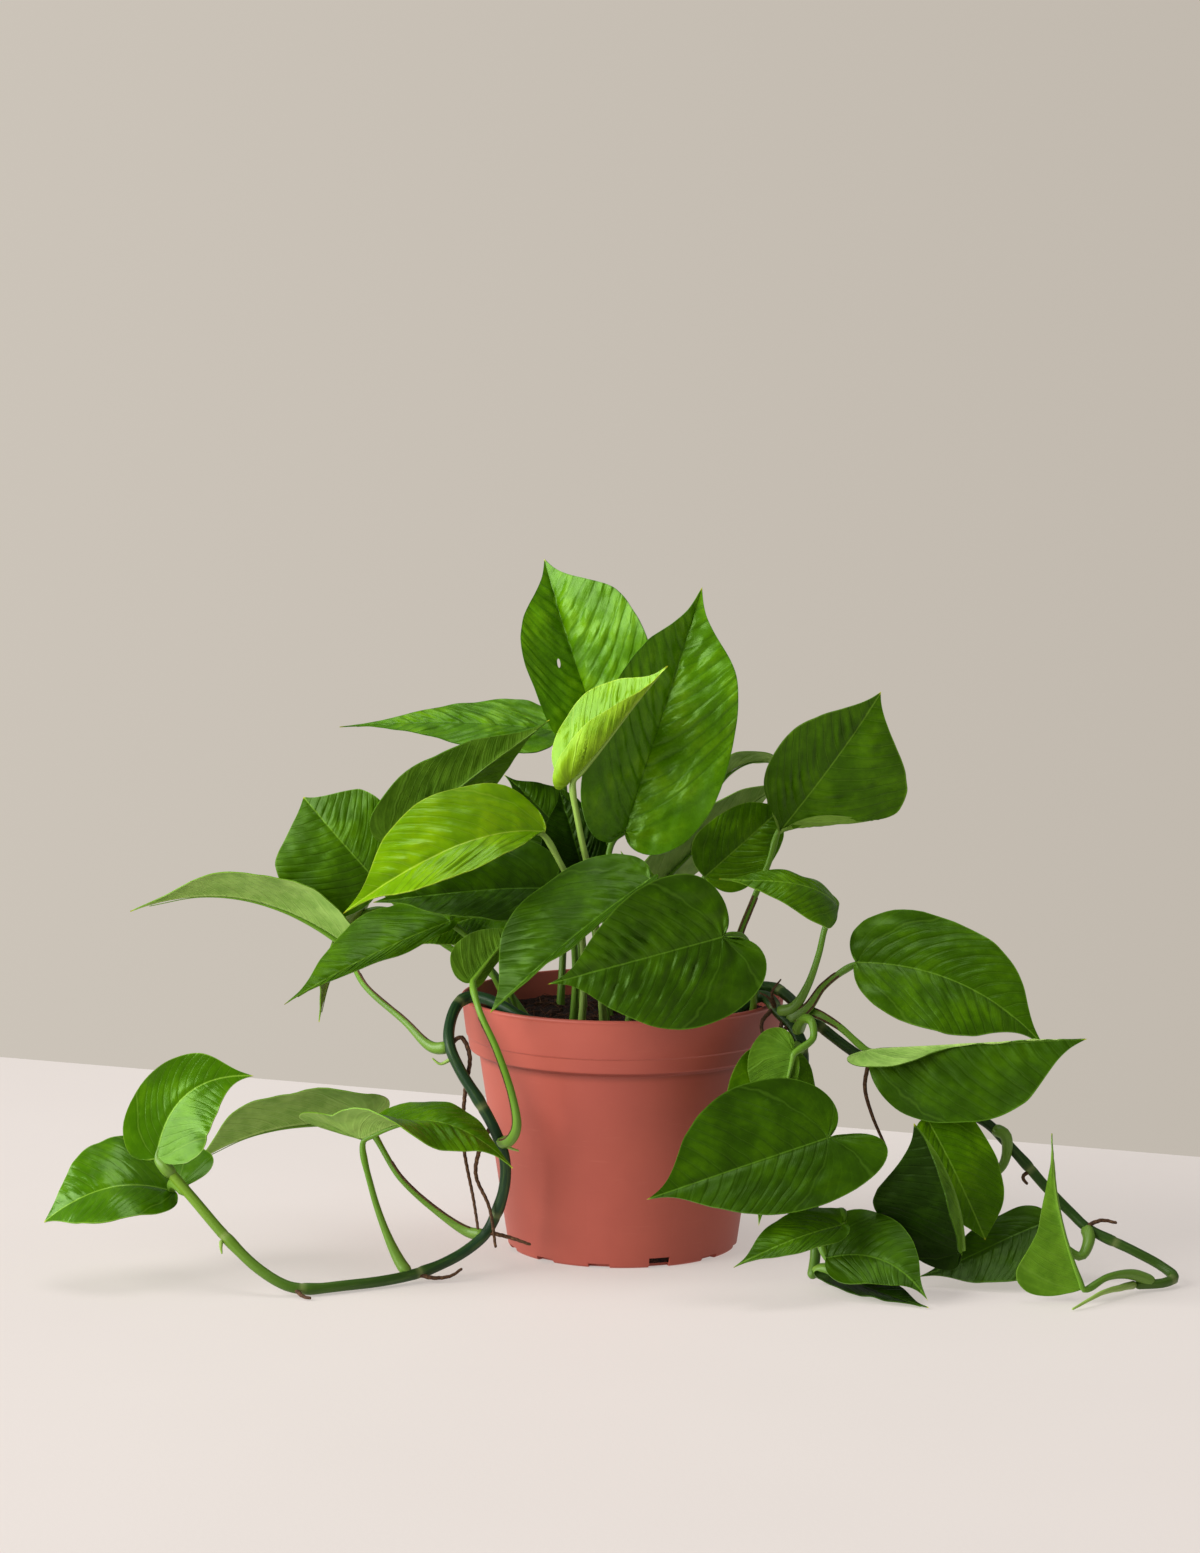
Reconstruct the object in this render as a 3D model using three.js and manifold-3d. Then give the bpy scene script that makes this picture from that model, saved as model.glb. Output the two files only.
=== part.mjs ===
// A jade pothos in a plastic nursery pot. Millimetres, +Z up, the pot's axis on Z and its floor on z = 0.
// Every leaf is one piece, blade and stalk together, seated on its vine or in a hole in the soil.
import * as THREE from 'three';
import { mergeVertices } from 'three/addons/utils/BufferGeometryUtils.js';
import Module from 'manifold-3d';

const wasm = await Module();
wasm.setup();

// Driving dimensions of the pot
const potHeight = 119;
const potRimRadius = 76;
const potBandRadius = 73.4;
const potBandTop = 101;
const potBandFoot = 94;
const potShoulder = 90;
const potBodyRadius = 67.4;
const potBaseRadius = 54;
const potWall = 1.5;
const potFacets = 40;
const drainSlots = 12;
const drainSlotWidth = 10;
const drainSlotDepth = 8;
const firstDrainSlot = -72;
const drainSlotHeights = [4.6, 2, 2, 2];

// Driving dimensions of the soil
const soilLevel = 107;
const soilRoughness = 1.1;
const soilWaves = [0.31, 0.27];
const soilRings = 5;
const seatGap = 0.3;

// Driving dimensions of the plant
const bladeThickness = 0.8;
const bladeColumns = 3;
const lobeDepth = [0.17, 0.17];
const widestAt = [0.25, 0.25];
const fullness = [0.5, 0.5];
const dripTip = 0.45;
const waveCount = 2.5;
const stalkRadius = 1.5;
const stalkTipRadius = 0.55;
const stalkSides = 5;
const stalkSteps = 7;
const ribReach = 0.12;
const vineRadius = 2.9;
const vineTaper = [1.06, 0.9];
const vineSides = 8;
const vineStepLength = 10;
const nodeSwelling = 1.18;
const rootRadius = 0.7;
const rootTaper = [1.3, 0.8];
const rootSides = 5;
const rootSteps = 6;

const vec = (p) => new THREE.Vector3(...p);
const degrees = THREE.MathUtils.degToRad;
const smoothstep = THREE.MathUtils.smoothstep;

// A closed geometry as a solid for joining and cutting.
function solid(geometry) {
  const bare = geometry.clone();
  bare.deleteAttribute('normal');
  bare.deleteAttribute('uv');
  const merged = mergeVertices(bare, 1e-4);
  const mesh = new wasm.Mesh({
    numProp: 3,
    vertProperties: merged.attributes.position.array,
    triVerts: new Uint32Array(merged.index.array),
  });
  return new wasm.Manifold(mesh);
}

// A solid back as a three.js geometry.
function geometryOf(body) {
  const mesh = body.getMesh();
  const geometry = new THREE.BufferGeometry();
  geometry.setAttribute('position', new THREE.BufferAttribute(mesh.vertProperties, 3));
  geometry.setIndex(new THREE.BufferAttribute(mesh.triVerts, 1));
  return geometry;
}

// A closed round bar that follows a curve, its radius given by a function of the place along it.
function barAlong(curve, radiusAt, sides, steps) {
  const bar = new THREE.CylinderGeometry(1, 1, 1, sides, steps);
  const frames = curve.computeFrenetFrames(steps, false);
  const centres = curve.getSpacedPoints(steps);
  const position = bar.attributes.position;
  for (let i = 0; i < position.count; i++) {
    const step = Math.round((position.getY(i) + 0.5) * steps);
    const radius = radiusAt(step / steps);
    const place = centres[step].clone();
    place.addScaledVector(frames.normals[step], position.getX(i) * radius);
    place.addScaledVector(frames.binormals[step], -position.getZ(i) * radius);
    position.setXYZ(i, place.x, place.y, place.z);
  }
  return bar;
}

// Half the outline of a flat blade, from the notch round the lobe to the tip, as shares of its length
// and half width.
// Places on it run from 0 at the notch to 1 at the tip.
const lobeShare = 0.42;
const rowShares = [0, 0.12, 0.24, 0.38, 0.52, 0.68, 0.84, 1];

function outlineAt(share, lobe, peak, full, slim, drip) {
  const lobeEdge = new THREE.CubicBezierCurve(
    new THREE.Vector2(0, 0),
    new THREE.Vector2(-1.5 * lobe, 0.1),
    new THREE.Vector2(-1.2 * lobe, 1),
    new THREE.Vector2(peak, 1),
  );
  const beyond = (part) => peak + (1 - peak) * part;
  const flankEdge = new THREE.CubicBezierCurve(
    new THREE.Vector2(peak, 1),
    new THREE.Vector2(beyond(0.33 + 0.32 * full), 1),
    new THREE.Vector2(beyond(0.63 + 0.1 * full), 0.08 + 0.28 * full),
    new THREE.Vector2(1, 0),
  );
  const edge =
    share <= lobeShare
      ? lobeEdge.getPoint(share / lobeShare)
      : flankEdge.getPoint((share - lobeShare) / (1 - lobeShare));
  edge.y *= 1 - slim * smoothstep(edge.x, 0.15, 0.45);
  edge.y *= 1 - drip * smoothstep(edge.x, 0.7, 0.95);
  return edge;
}

// The bent blade of one leaf: its midrib curve and the surface around it.
function bladeForm(leaf) {
  const base = vec(leaf.base);
  const tip = vec(leaf.tip);
  const chord = tip.clone().sub(base);
  const along = chord.clone().normalize();
  const face = vec(leaf.face);
  const up = face.addScaledVector(along, -face.dot(along)).normalize();
  const side = up.clone().cross(along);
  const [riseNear, riseFar] = leaf.rise;
  const sway = leaf.sway ?? 0;
  const control = (share, rise) =>
    base.clone().addScaledVector(chord, share).addScaledVector(up, rise).addScaledVector(side, sway);
  const midrib = new THREE.CubicBezierCurve3(base, control(0.33, riseNear), control(0.67, riseFar), tip);
  const length = midrib.getLength();

  // A point of the blade from its place in the flat leaf, x along the midrib and y to the left of it.
  function at(x, y, lift = 0) {
    const share = THREE.MathUtils.clamp(x / length, 0, 1);
    const tangent = midrib.getTangent(share);
    const normal = up.clone().addScaledVector(tangent, -up.dot(tangent)).normalize();
    const left = normal.clone().cross(tangent);
    const half = y >= 0 ? 0 : 1;
    const reach = Math.abs(y) / leaf.half[half];
    const foldEnd = leaf.foldEnd ?? leaf.fold;
    const fold = leaf.fold[half] + (foldEnd[half] - leaf.fold[half]) * smoothstep(share, 0, 0.6);
    const slope = degrees(fold + (leaf.curl[half] * reach) / 2);
    const phase = 2 * Math.PI * (waveCount * share + 0.3 * half) + leaf.half[0];
    const ripple = leaf.wave * reach * reach * Math.sin(phase);
    const point = midrib.getPoint(share);
    point.addScaledVector(x < 0 ? along : tangent, x - share * length);
    point.addScaledVector(left, y * Math.cos(slope));
    return point.addScaledVector(normal, Math.abs(y) * Math.sin(slope) + ripple + lift);
  }

  return { at, length };
}

// The blade as a thin closed solid: two like skins, triangle for triangle, joined along the outline.
function bladeSolid(leaf, form) {
  const bladeRows = rowShares.length - 1;
  const { lobe = lobeDepth, peak = widestAt, full = fullness, slim = [0, 0], drip = dripTip } = leaf;
  const rows = [];
  for (const share of rowShares) {
    const stem = share ** 2.5;
    const line = [];
    for (let column = -bladeColumns; column <= bladeColumns; column++) {
      const half = column >= 0 ? 0 : 1;
      const edge = outlineAt(share, lobe[half], peak[half], full[half], slim[half], drip);
      const across = column / bladeColumns;
      const x = stem + (edge.x - stem) * Math.abs(across);
      line.push([x * form.length, edge.y * across * leaf.half[half]]);
    }
    rows.push(line);
  }
  const columns = 2 * bladeColumns + 1;
  const step = 0.5;
  const skins = [1, -1].map((facing) =>
    rows.flat().map(([x, y]) => {
      const here = form.at(x, y);
      const ahead = form.at(x + step, y).sub(form.at(x - step, y));
      const aside = form.at(x, y + step).sub(form.at(x, y - step));
      const normal = ahead.cross(aside).normalize();
      return here.addScaledVector(normal, (facing * bladeThickness) / 2);
    }),
  );
  const positions = skins.flat().flatMap((p) => [p.x, p.y, p.z]);
  const vertex = (row, column) => {
    const pinched = row === 0 || row === bladeRows;
    return row * columns + (pinched ? bladeColumns : column);
  };
  const under = rows.length * columns;
  const triangles = [];
  const add = (a, b, c) => {
    if (a !== b && b !== c && c !== a) triangles.push(a, b, c);
  };
  const addSkins = (a, b, c) => {
    add(a, b, c);
    add(a + under, c + under, b + under);
  };
  const addWall = (a, b) => {
    add(b, a, a + under);
    add(b, a + under, b + under);
  };
  for (let row = 0; row < bladeRows; row++) {
    for (let column = 0; column < 2 * bladeColumns; column++) {
      const near = vertex(row, column);
      const far = vertex(row + 1, column);
      const farLeft = vertex(row + 1, column + 1);
      const nearLeft = vertex(row, column + 1);
      if (column < bladeColumns) {
        addSkins(near, far, farLeft);
        addSkins(near, farLeft, nearLeft);
      } else {
        addSkins(near, far, nearLeft);
        addSkins(far, farLeft, nearLeft);
      }
    }
    addWall(vertex(row, 0), vertex(row + 1, 0));
    addWall(vertex(row + 1, 2 * bladeColumns), vertex(row, 2 * bladeColumns));
  }
  const geometry = new THREE.BufferGeometry();
  geometry.setAttribute('position', new THREE.BufferAttribute(new Float32Array(positions), 3));
  geometry.setIndex(triangles);
  return solid(geometry);
}

// The vines: each a list of places on its centre line, and the shares of its length where a leaf grows.
const vines = {
  vine_left: {
    line: [
      [-16, -50, 98], [-30, -51, 110], [-45, -47, 115], [-56, -41.5, 120.3], [-63, -38, 122.8],
      [-69.5, -35.5, 123.3], [-75, -38.5, 121.6], [-79, -48, 114], [-79, -58, 105], [-74, -62, 94],
      [-65, -66, 80], [-58, -68, 67], [-54, -68, 55], [-54, -66, 42], [-58, -64, 28], [-63, -66, 19],
      [-72, -70, 12], [-83, -75, 7], [-94, -81, 4.2], [-108, -90, 3.2],
      [-125, -99, 3.2], [-141, -106, 3.4], [-150, -107, 5], [-163, -104, 12], [-178, -98, 25],
      [-193, -92, 41], [-205, -88, 54],
    ],
    nodes: [0.184, 0.339, 0.485, 0.611, 0.767, 0.883],
    roots: [
      [
        [-79, -58, 105], [-74, -55, 108], [-70, -57, 100], [-72, -60, 84], [-73, -62, 62], [-68, -66, 34],
        [-66, -70, 22],
      ],
      [[-60, -68, 70], [-66, -67, 56], [-67, -66, 46], [-61, -68, 32], [-58, -72, 14]],
      [[-62, -66, 20], [-52, -68, 18], [-42, -70, 15]],
      [[-94, -81, 4.2], [-86, -82, 2.5], [-78, -80, 3], [-73, -78, 6]],
      [[-147, -107, 4], [-143, -112, 1.5], [-139, -115, 1.2]],
    ],
  },
  vine_right: {
    line: [
      [36, 12, 94], [48, 6, 112], [61, -7, 122.5], [70, -20, 125], [76, -32, 123], [82, -42, 118],
      [90, -48, 112], [107, -55, 100], [136, -57, 84], [166, -60, 69], [174, -61, 61], [185, -62, 49],
      [192, -64, 41], [204, -68, 29], [211, -72, 23], [231, -78, 14], [243, -82, 8],
      [248, -88, 4.4], [243, -94, 3.2], [229, -99, 3.4],
    ],
    nodes: [0.2, 0.3, 0.52, 0.66, 0.82, 0.93],
    roots: [
      [[112, -56, 97], [110, -60, 86], [113, -63, 74], [119, -66, 60]],
      [[210, -72, 24], [217, -73, 27], [224, -74, 26]],
      [[186, -62, 48], [182, -64, 45], [184, -66, 42]],
    ],
  },
  vine_middle: {
    line: [
      [40, -20, 94], [50, -24, 111], [60, -30, 121.5], [66, -38, 123.5], [71, -47, 118.5], [77, -54, 113],
      [81, -57, 105], [82, -60, 93], [83, -65, 67], [86, -72, 36], [87, -79, 13], [85, -87, 3.4],
    ],
    nodes: [0.28, 0.42, 0.62, 0.86],
    roots: [
      [[69, -45, 120], [63, -55, 114], [65, -59, 106], [70, -60, 99]],
      [[73, -50, 116], [70, -60, 109], [66, -63, 108], [61, -64, 108]],
      [[76, -53, 114], [70, -60, 107], [73, -61, 101], [78, -62.5, 96]],
    ],
  },
};

// The leaves. base and tip are the ends of the midrib and face the way the upper side looks. rise is how
// far the midrib bows out at one and two thirds, sway how far it bends to the left. half, fold, curl, lobe,
// peak and full each give the left half first: its width, its slope in degrees at the rib, the gain to the
// edge, the depth of its lobe, where it is widest, and how full it stays towards the tip. foldEnd is the fold
// that the front of the leaf reaches, slim what a half loses in width past the lobe, and drip what the tip
// loses. A stalk starts on the axis of its vine, or in the soil where there is none.
const leaves = [
  { name: 'leaf_crown_back', stalk: [[-8, 12, 95], [-8, 20, 150], [-8, 26, 205]], base: [-9, 25, 233],
    tip: [-37, 45, 320], face: [-0.25, -1, 0.2], half: [24, 41], rise: [3, 10], fold: [37, 22],
    curl: [-8, -8], wave: 1.5, lobe: [0.1, 0.1], peak: [0.45, 0.4], full: [0.8, 1] },
  { name: 'leaf_crown_tall', stalk: [[-8, -8, 95], [-8, -9, 150], [-7, -8, 183], [-4, -7, 193]],
    base: [1, -10, 197], tip: [37, 10, 309], face: [0.1, -1, 0.3], half: [33, 37], rise: [3, 9],
    fold: [35, 20], curl: [-10, -14], wave: 1.5, lobe: [0.08, 0.08], peak: [0.3, 0.32], full: [0.75, 1] },
  { name: 'leaf_crown_young', stalk: [[-8, -26, 95], [-12, -30, 150], [-15, -31, 177], [-20, -35, 201]],
    base: [-24, -35, 224], tip: [20, -45, 277], face: [-0.6, -0.5, 0.6], half: [26, 12], rise: [-2, 2],
    fold: [10, 50], curl: [20, 130], wave: 0.4, lobe: [0.08, 0.12], peak: [0.35, 0.25],
    full: [0.5, 0.2] },
  { name: 'leaf_left_high', stalk: [[-30, 36, 95], [-27, 42, 170], [-28, 41, 215]], base: [-32, 38, 239],
    tip: [-134, 34, 241], face: [0, -0.5, 0.85], half: [22, 19], rise: [5, 5], fold: [8, 8],
    curl: [-10, -10], wave: 1.2, lobe: [0.02, 0.02], full: [0.1, 0], peak: [0.2, 0.15] },
  { name: 'leaf_left_inward', stalk: [[-38, 6, 95], [-58, 6, 124], [-84, 4, 150], [-103, 1, 178]],
    base: [-107, 0, 191], tip: [-34, -12, 249], face: [-0.3, 0.8, 0.5], half: [20, 23], rise: [4, 3],
    fold: [14, 14], curl: [-10, -10], wave: 1.2, lobe: [0.06, 0.07], full: [0.4, 0.5] },
  { name: 'leaf_left_bright', stalk: [[-20, -34, 95], [-18, -36, 140], [-22, -36, 171], [-28, -36, 184]],
    base: [-36, -35, 200], tip: [-126, -75, 168], face: [0, -0.68, 0.73], half: [17, 28], rise: [24, 16],
    fold: [14, 21], curl: [-14, -14], wave: 1, lobe: [-0.08, 0.02], peak: [0.5, 0.3], full: [0.5, 0.8] },
  { name: 'leaf_left_round', stalk: [[-42, 16, 95], [-60, 20, 123], [-86, 22, 140], [-108, 18, 160]],
    base: [-115, 15, 169], tip: [-151, 30, 208], face: [-0.3, -0.9, 0.45], half: [35, 27], rise: [6, 8],
    fold: [4, 4], curl: [-14, -14], wave: 1, lobe: [0.1, 0.1], peak: [0.4, 0.4], full: [1.4, 1.2] },
  { name: 'leaf_left_far', vine: 'vine_left', stalk: [[-79, -58, 104], [-87, -53, 103], [-100, -42, 113],
    [-120, -18, 126]], base: [-130, 5, 142], tip: [-231, 5, 157], face: [0, 0.25, 1], half: [23, 20],
    rise: [18, 20], fold: [35, 25], curl: [-10, -10], wave: 1.2, lobe: [0.05, 0.05] },
  { name: 'leaf_left_low', stalk: [[-42, -18, 95], [-56, -20, 123], [-68, -22, 145]],
    base: [-80, -25, 157], tip: [-154, -60, 124], face: [0, -0.6, 0.9], half: [6, 24], rise: [5, 5],
    fold: [-20, 5], curl: [-10, -10], wave: 1, lobe: [0.05, 0.1], full: [0.2, 0.4] },
  { name: 'leaf_left_hanging', stalk: [[-46, 32, 95], [-62, 38, 123], [-84, 46, 138], [-110, 47, 151]],
    base: [-124, 44, 152], tip: [-145, 36, 99], face: [-1, 0.2, 0.3], half: [17, 17], rise: [5, 5],
    fold: [12, 12], curl: [-10, -10], wave: 0.8 },
  { name: 'leaf_left_under', stalk: [[-24, -12, 95], [-22, -16, 130], [-24, -20, 154], [-28, -21, 164]],
    base: [-35, -22, 172], tip: [-114, -47, 169], face: [0, -0.67, 0.74], half: [25, 27], rise: [4, 2],
    fold: [20, 20], curl: [-12, -12], wave: 1, lobe: [0.02, 0.1], full: [0.7, 0.7] },
  { name: 'leaf_inner_left', stalk: [[-18, 28, 95], [-20, 26, 140], [-20, 22, 172]], base: [-22, 20, 184],
    tip: [-56, 35, 218], face: [0.3, -0.8, 0.6], half: [18, 18], rise: [4, 4], fold: [10, 10],
    curl: [-8, -8], wave: 0.8 },
  { name: 'leaf_inner_dark', stalk: [[-4, 8, 95], [-12, 6, 140], [-15, 4, 162]], base: [-17, 2, 172],
    tip: [-30, 6, 216], face: [0, -1, 0.2], half: [18, 14], rise: [4, 4], fold: [10, 10], curl: [-8, -8],
    wave: 0.8 },
  { name: 'leaf_front_left', stalk: [[0, -38, 95], [6, -43, 135], [11, -50, 168]], base: [12, -56, 181],
    tip: [-60, -76, 123], face: [-0.2, -0.8, 0.6], half: [16, 33], rise: [7, 6], fold: [50, 0],
    curl: [0, -14], wave: 1, lobe: [0.04, 0.06], full: [0.5, 0.9], peak: [0.25, 0.45] },
  { name: 'leaf_front_round', stalk: [[58, -26, 95], [60, -44, 130], [54, -66, 156]],
    base: [44, -80, 158], tip: [-34, -88, 138], face: [0.05, -1, 0.15], half: [36, 33], rise: [3, 5],
    fold: [6, 6], curl: [-8, -8], wave: 0.8, lobe: [0.22, 0.08], peak: [0.25, 0.2], full: [0.4, 0.4] },
  { name: 'leaf_front_stem', vine: 'vine_left', stalk: [[-56, -68, 62], [-51, -77, 65], [-48, -81, 72],
    [-50, -81, 86], [-57, -80, 107], [-65, -75, 124]], base: [-69, -63, 135], tip: [-47, -52, 160],
    face: [0.3, 0.9, 0.5], half: [9, 16], rise: [3, 3], fold: [50, 5], curl: [-8, -8], wave: 0.6,
    lobe: [0.05, 0.1] },
  { name: 'leaf_left_inner_low', stalk: [[-46, 0, 95], [-54, -3, 125], [-57, -5, 148]],
    base: [-60, -5, 158], tip: [-99, -12, 142], face: [0, -0.6, 0.8], half: [15, 15], rise: [5, 5],
    fold: [8, 8], curl: [-10, -10], wave: 1.4 },
  { name: 'leaf_right_inner', stalk: [[32, 18, 95], [35, 15, 140], [37, 13, 163]], base: [39, 10, 173],
    tip: [79, 30, 206], face: [0.1, -1, 0.2], half: [18, 17], rise: [4, 5], fold: [8, 8],
    curl: [-10, -10], wave: 1, lobe: [0.02, 0.02], full: [1, 1] },
  { name: 'leaf_right_high', stalk: [[46, -12, 95], [50, -10, 125], [54, -2, 145], [61, 4, 162],
    [69, 8, 181]], base: [73, 10, 193], tip: [120, 0, 261], face: [0.3, -0.9, 0.1], half: [27, 40],
    rise: [4, 8], fold: [8, 8], curl: [-10, -14], wave: 1, lobe: [-0.08, -0.25], peak: [0.44, 0.5],
    full: [0.6, 0.4], drip: 0.1 },
  { name: 'leaf_right_back', stalk: [[24, 50, 95], [30, 58, 150], [36, 58, 190]], base: [40, 56, 203],
    tip: [88, 62, 214], face: [-0.3, 0.4, 0.9], half: [13, 13], rise: [18, 20], fold: [14, 14],
    curl: [-8, -8], wave: 0.8 },
  { name: 'leaf_right_behind', stalk: [[10, 30, 95], [12, 33, 135], [13, 32, 155]], base: [16, 30, 165],
    tip: [83, 45, 217], face: [0.2, 0.6, 0.8], half: [19, 19], rise: [6, 6], fold: [12, 12],
    curl: [-8, -8], wave: 0.8 },
  { name: 'leaf_inner_small', stalk: [[16, -16, 95], [16, -17, 135], [13, -17, 157]], base: [9, -18, 165],
    tip: [-1, -20, 189], face: [0.2, -0.9, 0.5], half: [8, 10], rise: [2, 2], fold: [8, 8],
    curl: [-8, -8], wave: 0.4 },
  { name: 'leaf_right_small', vine: 'vine_middle', stalk: [[71, -48, 118.5], [78, -55, 122],
    [84, -56, 132], [89, -54, 146], [92, -52, 158]], base: [98, -50, 168], tip: [43, -70, 183],
    face: [0.4, -0.5, 0.8], half: [18, 14], rise: [14, 4], fold: [-8, -8], curl: [-20, -20], wave: 0.6,
    lobe: [0, 0.03], peak: [0.15, 0.2], full: [0.2, 0.4] },
  { name: 'leaf_right_upper', vine: 'vine_middle', stalk: [[75, -52, 115], [84, -57, 122],
    [91, -54, 131]], base: [107, -45, 141], tip: [191, -60, 105], face: [0.15, -0.8, 0.6], half: [30, 29],
    rise: [5, 6], sway: 13, fold: [6, 6], curl: [-12, -12], wave: 0.8, lobe: [0.05, 0.03],
    peak: [0.3, 0.38], full: [0.8, 0.8] },
  { name: 'leaf_right_lower', vine: 'vine_right', stalk: [[83, -44, 117], [88, -56, 119], [98, -61, 114]],
    base: [111, -66, 104], tip: [208, -84, 112.5], face: [0, -0.9, 0.35], half: [13, 35], rise: [1, 1],
    fold: [138, -4], curl: [0, -8], wave: 0.6, lobe: [0.1, 0.01], peak: [0.1, 0.4], full: [-0.6, 0.9],
    slim: [0.92, 0] },
  { name: 'leaf_middle_front', vine: 'vine_middle', stalk: [[84.5, -69, 52], [96, -76, 56],
    [98, -89, 64]], base: [91, -97, 70], tip: [10, -120, 47], face: [-0.1, -0.95, 0.3], half: [29, 35],
    rise: [2, 3], fold: [16, 0], curl: [-6, -6], wave: 1, lobe: [0.28, 0.12], peak: [0.2, 0.32],
    full: [0.5, 0.55] },
  { name: 'leaf_middle_pale', vine: 'vine_middle', stalk: [[79, -55, 110], [82, -64, 118], [85, -71, 118],
    [85.5, -74, 111]], base: [77, -77, 104.5], tip: [67, -84, 66], face: [0.3, 1, 0.3], half: [20, 4],
    rise: [2, 2], fold: [4, 8], curl: [-8, -8], wave: 0.6, lobe: [0.25, 0], peak: [0.15, 0.25],
    full: [0.3, 0.5] },
  { name: 'leaf_middle_behind', vine: 'vine_middle', stalk: [[81.5, -58, 102], [77, -63, 105],
    [73, -67, 102]], base: [69, -67, 94], tip: [61, -84, 27], face: [0.2, -1, 0.1], half: [20, 22],
    rise: [3, 3], fold: [6, 6], curl: [-8, -8], wave: 0.8 },
  { name: 'leaf_right_folded', vine: 'vine_right', stalk: [[168, -60.5, 67], [174, -63, 64],
    [173, -62, 50], [158, -64, 40], [143, -72, 38], [138, -84, 36], [144, -94, 27]],
    base: [151, -101, 19], tip: [129, -104, 78], face: [-0.45, -0.9, 0], half: [38, 8], rise: [3, 3],
    sway: -10, fold: [4, 95], curl: [0, 0], wave: 0.8, lobe: [0.2, 0], peak: [0.45, 0.4],
    full: [1.2, 0.2] },
  { name: 'leaf_right_drooping', vine: 'vine_right', stalk: [[139, -57, 82], [141, -64, 84],
    [140, -70, 81]], base: [138, -73, 73], tip: [163, -86, 21], face: [0.25, -0.95, 0.1], half: [20, 13],
    rise: [5, 5], fold: [8, 8], curl: [-12, -12], wave: 0.8, drip: 0, full: [1.3, 0.9], peak: [0.4, 0.45],
    lobe: [0.17, 0.04] },
  { name: 'leaf_right_floor', vine: 'vine_right', stalk: [[210, -71.5, 24], [211, -77, 19],
    [207, -80, 12], [200, -79, 16]], base: [191, -77, 27], tip: [133, -90, 5], face: [0, -0.42, 0.9],
    half: [24, 13], rise: [2, -3], fold: [-8, 20], curl: [-4, -10], wave: 0.8, lobe: [0.05, 0.05] },
  { name: 'leaf_right_upright', vine: 'vine_right', stalk: [[238, -95, 3.3], [228, -101, 8.5],
    [215, -112, 10]], base: [204, -118, 6.5], tip: [188, -126, 78], face: [0.1, 1, 0], half: [10, 27],
    rise: [1, 1], sway: -5, fold: [100, 2], curl: [0, -6], wave: 0.5, lobe: [0, 0], peak: [0.5, 0.2],
    full: [0.3, -0.45], slim: [0, 0.42] },
  { name: 'leaf_middle_small', vine: 'vine_middle', stalk: [[86, -75, 26], [92, -88, 33], [98, -100, 37]],
    base: [97, -108, 33], tip: [48, -135, 20], face: [-0.1, -0.6, 0.8], half: [9, 15], rise: [4, 4],
    fold: [0, 6], curl: [-12, -12], wave: 0.6, lobe: [0.05, 0.12] },
  { name: 'leaf_middle_floor', vine: 'vine_middle', stalk: [[86.5, -77, 20], [89, -86, 22],
    [89, -95, 20]], base: [91, -100, 16], tip: [134, -128, 3.5], face: [-0.2, -0.7, 0.7], half: [24, 15],
    rise: [6, 6], sway: 10, fold: [6, 6], curl: [-14, -14], wave: 0.6, lobe: [0.06, 0.02],
    full: [0.4, 0.6], peak: [0.15, 0.25] },
  { name: 'leaf_middle_lowest', vine: 'vine_middle', stalk: [[86, -84, 6], [90, -88, 8], [93, -91, 8]],
    base: [95, -93, 7], tip: [134, -132, 1.3], face: [0, -0.3, 0.95], half: [10, 10], rise: [-1, -1],
    fold: [8, 8], curl: [-4, -4], wave: 0.4 },
  { name: 'leaf_vine_tip_upright', vine: 'vine_left', stalk: [[-202, -88.5, 51], [-206, -89, 55]],
    base: [-210, -88, 59], tip: [-166, -86, 96], face: [-0.3, -0.85, 0.4], half: [19, 24], rise: [6, 8],
    sway: 16, fold: [6, 0], curl: [14, 14], wave: 0.6, lobe: [0.05, 0.05], full: [1.1, 0.9] },
  { name: 'leaf_vine_tip_low', vine: 'vine_left', stalk: [[-196, -91, 44], [-201, -84, 46],
    [-204, -79, 45]], base: [-204, -75, 41], tip: [-261, -86, 29], face: [0, -0.55, 0.84], half: [21, 31],
    rise: [17, 15], fold: [6, 6], curl: [-12, -12], wave: 0.6, drip: 0.1, lobe: [0.03, 0.34],
    full: [0.9, 0.8], peak: [0.45, 0.25] },
  { name: 'leaf_vine_arching', vine: 'vine_left', stalk: [[-63, -66, 19], [-70, -62, 19], [-84, -58, 27],
    [-102, -52, 42]], base: [-118, -42, 66], tip: [-196, -46, 48], face: [0, 0.2, 1], half: [23, 20],
    rise: [8, 11], fold: [46, 30], curl: [-12, -10], wave: 0.8, lobe: [0.15, 0.12], full: [1.3, 1] },
  { name: 'leaf_vine_middle', vine: 'vine_left', stalk: [[-97, -82.5, 4], [-101, -80, 9], [-107, -77, 21],
    [-114, -73, 41]], base: [-119, -70, 64], tip: [-50, -82, 53], face: [0, -0.25, 1], half: [18, 20],
    rise: [22, 21], fold: [10, 75], foldEnd: [10, -10], curl: [-10, -20], wave: 0.6, lobe: [0.15, 0.3],
    full: [0.8, 0.8] },
];

// The growing tip of the right vine: a leaf still rolled into a spike.
const rolledLeaf = {
  from: [229, -99, 3.4],
  line: [[222, -108, 4.6], [213, -119, 5], [205, -127, 3.4], [197, -134, 1]],
  radius: 1.9,
};

const curveThrough = (points) => new THREE.CatmullRomCurve3(points.map(vec), false, 'centripetal');

function vineCurve(vine) {
  const curve = curveThrough(vine.line);
  curve.arcLengthDivisions = 400;
  return curve;
}

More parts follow.
